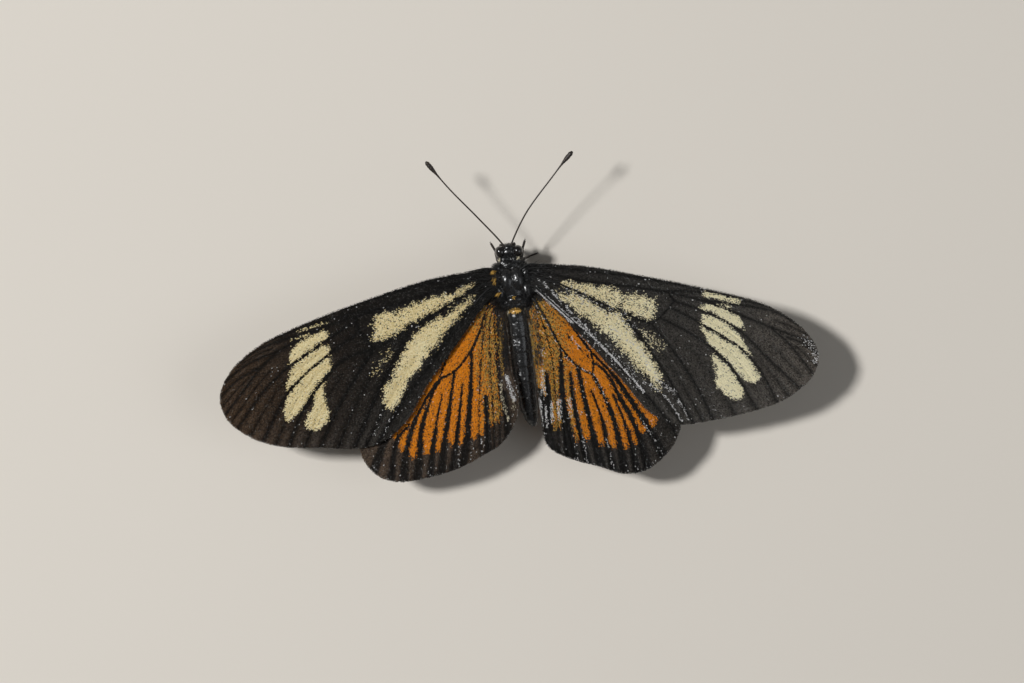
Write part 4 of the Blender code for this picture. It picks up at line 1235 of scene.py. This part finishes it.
def membrane_finish(name, dull):
    """The wing's skin, with the same marks as its scales, drawn in cells of a scale's size."""
    finish = Finish(name, specular_ior_level=0.15)
    place = finish.place()
    chance, tone = finish.cells(place, SKIN_CELLS)
    colour = scale_colours(finish, chance, tone, dull)
    height = finish.cell_depth(place, SKIN_CELLS)
    finish.wear(Base_Color=colour, Roughness=0.45 + 0.2 * tone, Normal=finish.bump(height, 0.03, 0.6))
    return finish


def ball(centre, half):
    bpy.ops.mesh.primitive_uv_sphere_add(segments=40, ring_count=24, radius=1, location=centre, scale=half)
    return bpy.context.object


def rod(name, points, stations, step, ring=0.0, ring_length=0.3, roundness=3):
    """A round limb along a smooth line. Radii are given at stations from 0 to 1. Ring swells joints."""
    line = smooth_line(points, step)
    shares = along(line)
    length = np.linalg.norm(np.diff(line, axis=0), axis=1).sum()
    places, radii = zip(*stations)
    widths = np.interp(shares, places, radii)
    widths = widths * (1 + ring * np.abs(np.sin(np.pi * shares * length / ring_length)))
    curve = bpy.data.curves.new(name, "CURVE")
    curve.dimensions = "3D"
    curve.bevel_depth = 1.0
    curve.bevel_resolution = roundness
    curve.use_fill_caps = True
    spline = curve.splines.new("POLY")
    spline.points.add(len(line) - 1)
    spline.points.foreach_set("co", np.column_stack([line, np.ones(len(line))]).ravel())
    spline.points.foreach_set("radius", widths)
    made = bpy.data.objects.new(name, curve)
    bpy.context.scene.collection.objects.link(made)
    select_only(made)
    bpy.ops.object.convert(target="MESH")
    made = bpy.context.object
    made.data.shade_smooth()
    return made


def segmented_abdomen():
    """The abdomen, each of its rings overlapping the next."""
    places, radii = zip(*ABDOMEN_RADIUS)
    stations = []
    for i in range(ABDOMEN_STATIONS + 1):
        share = i / ABDOMEN_STATIONS
        radius = float(np.interp(share, places, radii))
        within = share * ABDOMEN_SEGMENTS % 1
        stations.append((share, radius - SEGMENT_STEP * (1 - within) ** 3 * (radius > NARROW_END)))
    return rod("abdomen_core", ABDOMEN_AXIS, stations, 0.07, roundness=12)


def body_skin():
    """One skin over head, thorax and abdomen, so that no seam shows."""
    parts = [ball(centre, half) for centre, half in [*THORAX_BALLS, *HEAD_BALLS]]
    for side in SIDES.values():
        parts += [ball((side * x, y, COXA_LEVEL), COXA_HALF) for x, y in COXA_PLACES]
    parts.append(segmented_abdomen())
    skin = joined("body_skin", parts)
    remesh = skin.modifiers.new("skin", "REMESH")
    remesh.mode = "VOXEL"
    remesh.voxel_size = SKIN_VOXEL
    smooth = skin.modifiers.new("flow", "SMOOTH")
    smooth.factor = 0.5
    smooth.iterations = 10
    apply_modifiers(skin)
    skin.data.shade_smooth()
    return skin


def body_fields(points):
    """The share of gold and of cream scales at these places of the body."""
    found = {"gold": np.zeros(len(points)), "cream": np.zeros(len(points))}
    for colour, share, centre, reach in BODY_MARKS:
        away = np.linalg.norm((points[:, :2] - np.array(centre)) / np.array(reach), axis=1)
        cover = share * (1 - step_up(away, 0.8, 1.2)) * (points[:, 2] > MARKS_ABOVE)
        found[colour] = np.maximum(found[colour], cover)
    return found


def vertex_places(mesh):
    points = np.empty(len(mesh.vertices) * 3, np.float32)
    mesh.vertices.foreach_get("co", points)
    return points.reshape(-1, 3).astype(float)


def hair_shapes(roots, normals, lie, lengths, radii, lifts):
    """Thin bent hairs of three sides: seven points and ten triangles apiece."""
    lie = unit(lie - (lie * normals).sum(axis=1, keepdims=True) * normals)
    beside = np.cross(lie, normals)
    reach, radius, lift = (v[:, None] for v in (lengths, radii, lifts))
    middle = roots + (lie * (1 - lift) + normals * (lift + 0.15)) * reach * 0.5
    tip = roots + (lie * (1 - lift * 0.7) + normals * lift * 0.9) * reach
    base = roots - normals * radius
    rings = []
    for centre, size in ((base, 1.0), (middle, 0.7)):
        sideways = beside * radius * size
        rings += [centre + sideways, centre - sideways, centre + normals * radius * size]
    points = np.stack([*rings, tip], axis=1).reshape(-1, 3)
    one = np.array([
        [0, 1, 2], [0, 3, 4], [0, 4, 1], [1, 4, 5], [1, 5, 2],
        [2, 5, 3], [2, 3, 0], [3, 6, 4], [4, 6, 5], [5, 6, 3],
    ])
    faces = (np.arange(len(roots))[:, None, None] * len(HAIR_PATCH) + one).reshape(-1, 3)
    return points, faces


def hair_places(mesh, rng):
    """Random places for the body's hairs, dense beside the thorax and on marks, and the normals there."""
    points = vertex_places(mesh)
    mesh.calc_loop_triangles()
    corners = np.empty(len(mesh.loop_triangles) * 3, np.int32)
    mesh.loop_triangles.foreach_get("vertices", corners)
    a, b, c = (points[corners[i::3]] for i in range(3))
    normals = np.cross(b - a, c - a)
    areas = np.linalg.norm(normals, axis=1) / 2
    centres = (a + b + c) / 3
    x, y, z = centres.T
    beside = (np.abs(y) < THORAX_END) & (np.abs(x) > THORAX_SIDE)
    rear, front = DOME_ALONG
    on_dome = (z > DOME_ABOVE) & (np.abs(x) < DOME_SIDE) & (y > rear) & (y < front)
    density = np.where(y < -THORAX_END, HAIR_DENSITY["abdomen"], HAIR_DENSITY["thorax"])
    density = density + HAIR_DENSITY["side"] * beside + HAIR_DENSITY["head"] * (y > THORAX_END)
    density = np.where(on_dome, HAIR_DENSITY["dome"], density)
    density = density + HAIR_DENSITY["marks"] * (sum(body_fields(centres).values()) > MARKED)
    chances = areas * density
    picked = rng.choice(len(areas), HAIRS, p=chances / chances.sum())
    share = rng.random((HAIRS, 2))
    share = np.where(share.sum(axis=1, keepdims=True) > 1, 1 - share, share)
    roots = a[picked] + (b - a)[picked] * share[:, :1] + (c - a)[picked] * share[:, 1:]
    return roots, unit(normals[picked])


def body_coat(skin, finish):
    """Hair over the body: long beside the thorax, half upright on the head, short and flat elsewhere."""
    rng = np.random.default_rng(HAIR_SEED)
    roots, normals = hair_places(skin.data, rng)
    x, y, z = roots.T
    head = y > THORAX_END
    thorax = np.abs(y) < THORAX_END
    beside = thorax & (np.abs(x) > THORAX_SIDE)
    lie = np.column_stack([0.25 * x, np.where(head, 0.5, -1.0), np.full(HAIRS, -0.15)])
    lie[beside, 0] = (np.sign(x) * rng.uniform(0.4, 1.4, HAIRS))[beside]
    lie += rng.normal(0, 0.3, lie.shape)
    lengths = np.select([head, beside, thorax], [HAIR_LENGTH[k] for k in ("head", "side", "thorax")],
                        HAIR_LENGTH["abdomen"])
    lengths = lengths * rng.uniform(0.6, 1.35, HAIRS)
    lifts = np.select([head, beside], [HAIR_LIFT["head"], HAIR_LIFT["side"]], HAIR_LIFT["elsewhere"])
    lifts = lifts * rng.uniform(0.4, 1.5, HAIRS)
    values = body_fields(roots)
    radii = np.where(sum(values.values()) > MARKED, HAIR_RADIUS["marked"], HAIR_RADIUS["plain"])
    radii = radii * rng.uniform(0.8, 1.3, HAIRS)
    shape = hair_shapes(roots, normals, lie, lengths, radii, lifts)
    values["chance"] = rng.random(HAIRS)
    round_body = np.arctan2(x, z - BODY_AXIS_LEVEL) / math.tau + 0.5
    along_body = (y - y.min()) / (y.max() - y.min())
    spots = within_map(np.column_stack([round_body, along_body]))
    made = coat_piece("body_hair", *shape, values, spots, HAIR_PATCH)
    made.data.shade_smooth()
    settle(made, finish, "body")


def body_colours(finish, chance):
    """Black, with gold and cream scales where the body has them."""
    colour = finish.mix(finish.attribute("gold").above(chance), CHITIN, GOLD)
    return finish.mix(finish.attribute("cream").above(chance), colour, CREAM)


def polished(name, roughness, ior, shine):
    """A finish under a clear coat, as on bare horn."""
    return Finish(name, coat_weight=1.0, coat_roughness=roughness, coat_ior=ior, specular_ior_level=shine)


def skin_finish():
    """The body's black skin, dented by its muscles and finely pitted."""
    finish = polished("body_skin_black", 0.26, 1.5, 0.3)
    place = finish.place()
    chance, _ = finish.cells(place, 12.0)
    dents = finish.noise(place, 1.3, detail=2.5)
    pits = finish.noise(place, 9.0, detail=3.0)
    finish.wear(
        Base_Color=body_colours(finish, chance),
        Roughness=0.15 + 0.25 * pits,
        Normal=finish.bump(pits, 0.008, 0.9, under=finish.bump(dents, 0.36, 1.0)),
    )
    return finish


def hair_finish():
    finish = Finish("body_hair_black")
    chance = finish.attribute("chance")
    finish.wear(Base_Color=body_colours(finish, chance), Roughness=0.28 + 0.25 * chance)
    return finish


def vein_finish(name, gloss):
    """Bare black veins, as glossy as polished horn."""
    finish = polished(name, 0.2, gloss, 0.3)
    grain = finish.noise(finish.place(), 6.0, detail=3.0)
    colour = finish.mix(grain, SOOT_DEEP, SOOT)
    finish.wear(Base_Color=colour, Roughness=0.25 + 0.2 * grain, Normal=finish.bump(grain, 0.02, 0.6))
    return finish


def limb_finish(name, roughness):
    """Black limbs with a dusting of brown scales."""
    finish = Finish(name)
    place = finish.place()
    grain = finish.noise(place, 14.0, detail=3.0)
    _, tone = finish.cells(place, 11.0)
    colour = finish.mix(tone * 0.5, CHITIN, BROWN)
    finish.wear(Base_Color=colour, Roughness=roughness + 0.2 * grain, Normal=finish.bump(grain, 0.03, 0.7))
    return finish


def eye_finish():
    """Black eyes with a fine net of facets."""
    finish = polished("eye_facets_black", 0.18, 1.5, 0.2)
    facets = finish.cell_depth(finish.place(), 28.0)
    colour = finish.mix(facets, EYE_BROWN, EYE_BLACK)
    finish.wear(Base_Color=colour, Roughness=0.1 + 0.15 * facets, Normal=finish.bump(facets, 0.004, 0.5))
    return finish


def eye(word, finish):
    centre = EYE_CENTRE[word]
    bpy.ops.mesh.primitive_ico_sphere_add(subdivisions=5, radius=1, location=centre, scale=EYE_HALF)
    made = joined("eye_" + word + "_globe", [bpy.context.object])
    made.data.shade_smooth()
    settle(made, finish, "eye", "eye_" + word)


def antenna(word, finish):
    made = rod("antenna_" + word + "_shaft", ANTENNAE[word], ANTENNA_RADIUS, 0.05, 0.1, ANTENNA_RING)
    settle(made, finish, "limb", "antenna_" + word)


def leg(name, finish):
    """Femur, tibia and tarsus, with spines on the tibia and two claws."""
    root, knee, ankle, toe = (np.array(p, float) for p in LEGS[name])
    folded = name.startswith("foreleg")
    stout = FORELEG_STOUTNESS if folded else 1.0
    shin = unit((ankle - knee)[None])[0]
    thigh = [root, (root + knee) / 2 + (0, 0, FEMUR_ARCH), knee]
    parts = [rod("femur", thigh, [(s, r * stout) for s, r in FEMUR_RADIUS], 0.1)]
    parts.append(rod("tibia", [knee, ankle], [(s, r * stout) for s, r in TIBIA_RADIUS], 0.1))
    stations = []
    for i in range(TARSUS_RINGS):
        stations.append(((i + 0.05) / TARSUS_RINGS, TARSUS_RADIUS * 0.7 * stout))
        stations.append(((i + 0.85) / TARSUS_RINGS, TARSUS_RADIUS * stout))
    stations.append((1.0, TARSUS_RADIUS * 0.5))
    bend = ankle * 0.8 + toe * 0.2
    if not folded:
        bend[2] = TARSUS_RADIUS + 0.01
        toe[2] = TARSUS_RADIUS
    route = smooth_line([ankle, bend, toe], 0.1)
    route[:, 2] = np.maximum(route[:, 2], TARSUS_RADIUS)
    parts.append(rod("tarsus", route, stations, 0.05))
    run = unit((toe - bend)[None])[0]
    flat = unit(np.cross(run, (0, 0, 1))[None])[0]
    sideways, onward = SPINE_LEAN
    for side in (-1, 1):
        hook = toe + run * 0.16 + flat * side * 0.06 - (0, 0, 0.03)
        claw = [toe, toe + run * 0.1 + flat * side * 0.05, hook]
        parts.append(rod("claw", claw, CLAW_RADIUS, 0.03))
        for share in SPINE_PLACES:
            start = knee + (ankle - knee) * share
            spine = [start, start + flat * side * sideways + shin * onward]
            parts.append(rod("spine", spine, SPINE_RADIUS, 0.1))
    settle(joined(name + "_joints", parts), finish, "limb", name)


def palp(word, finish):
    made = rod("palp_" + word + "_bristles", PALPS[word], PALP_RADIUS, 0.04, 0.12, 0.15)
    settle(made, finish, "limb", "palp_" + word)


def tongue(finish):
    """The long tongue, wound up under the head."""
    x, y, z = TONGUE_CENTRE
    turns = np.linspace(0, TONGUE_TURNS * math.tau, 60)
    spans = np.linspace(*TONGUE_COIL, 60)
    coil = [(x, y - s * math.cos(t), z + s * math.sin(t)) for t, s in zip(turns, spans)]
    path = [(x, 3.2, 3.3), (x, 3.0, 2.9), *coil]
    made = rod("tongue_coil", path, TONGUE_RADIUS, 0.04, 0.1, 0.08)
    settle(made, finish, "body", "tongue")


def floor():
    bpy.ops.mesh.primitive_grid_add(x_subdivisions=8, y_subdivisions=8, size=FLOOR_SIZE)
    made = bpy.context.object
    made.name = "floor"
    finish = Finish("floor_pale", roughness=0.85)
    grain = finish.noise(finish.place(), 0.02, detail=4.0)
    finish.wear(Base_Color=finish.mix(grain * 0.25, FLOOR, tuple(c * 0.9 for c in FLOOR)))
    made.data.materials.append(finish.material)


def light(name, place, size, power, colour):
    """A soft square light that faces the butterfly."""
    data = bpy.data.lights.new(name, "AREA")
    data.size = size
    data.energy = power
    data.color = colour
    made = bpy.data.objects.new(name, data)
    made.location = place
    made.rotation_euler = (-Vector(place)).to_track_quat("-Z", "Y").to_euler()
    bpy.context.scene.collection.objects.link(made)


def studio():
    floor()
    for name, settings in LIGHTS.items():
        light(name, *settings)
    world = bpy.data.worlds.new("studio")
    bpy.context.scene.world = world
    world.use_nodes = True
    sky = world.node_tree.nodes["Background"]
    sky.inputs["Color"].default_value = (1, 1, 1, 1)
    sky.inputs["Strength"].default_value = SKY_STRENGTH
    bpy.context.scene.view_settings.view_transform = "Standard"


def camera():
    data = bpy.data.cameras.new("camera")
    data.sensor_width = SENSOR
    data.lens = SENSOR * CAMERA_DISTANCE / VIEW_WIDTH
    data.clip_start = 0.01
    data.clip_end = 10
    made = bpy.data.objects.new("camera", data)
    x, y = VIEW_CENTRE
    made.location = PLACE + Vector((x, y, VIEW_LEVEL + CAMERA_DISTANCE)) * MM
    made.rotation_euler = (0, 0, -math.asin(VIEW_UP[0]))
    bpy.context.scene.collection.objects.link(made)
    bpy.context.scene.camera = made


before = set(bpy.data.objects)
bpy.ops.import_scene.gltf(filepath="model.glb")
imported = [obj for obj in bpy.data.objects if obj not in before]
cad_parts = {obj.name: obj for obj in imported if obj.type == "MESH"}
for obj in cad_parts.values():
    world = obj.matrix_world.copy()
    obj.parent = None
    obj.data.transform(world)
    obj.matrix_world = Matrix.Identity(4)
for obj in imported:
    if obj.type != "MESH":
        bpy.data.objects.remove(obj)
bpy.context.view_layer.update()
bpy.ops.object.select_all(action="DESELECT")
thorax_low, thorax_high = (np.array(corner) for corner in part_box("thorax"))
thorax_middle = (thorax_low + thorax_high) / 2
PLACE = Vector((thorax_middle[0], thorax_middle[1], 0))

upper = membrane_finish("wing_skin_upper", 0.0)
under = membrane_finish("wing_skin_under", 0.35)
scale_look = scale_finish("wing_scales")
hair_look = hair_finish()
vein_looks = {"left": vein_finish("root_veins_dull", 1.35), "right": vein_finish("root_veins_bright", 1.7)}
for number, wing_name in enumerate(EDGE):
    vein_look = vein_looks[wing_name.split("_")[1]]
    wing(wing_name, (upper, under), scale_look, vein_look, hair_look, SCALE_SEED + number)

skin_look = skin_finish()
limb_look = limb_finish("limb_black", 0.3)
skin = body_skin()
add_fields(skin.data, body_fields(vertex_places(skin.data)))
body_coat(skin, hair_look)
settle(skin, skin_look, "body", "head", "thorax", "abdomen")
eye_look = eye_finish()
antenna_look = limb_finish("antenna_black", 0.4)
for word in SIDES:
    eye(word, eye_look)
    antenna(word, antenna_look)
    palp(word, limb_look)
for leg_name in LEGS:
    leg(leg_name, limb_look)
tongue(limb_look)

camera()
studio()
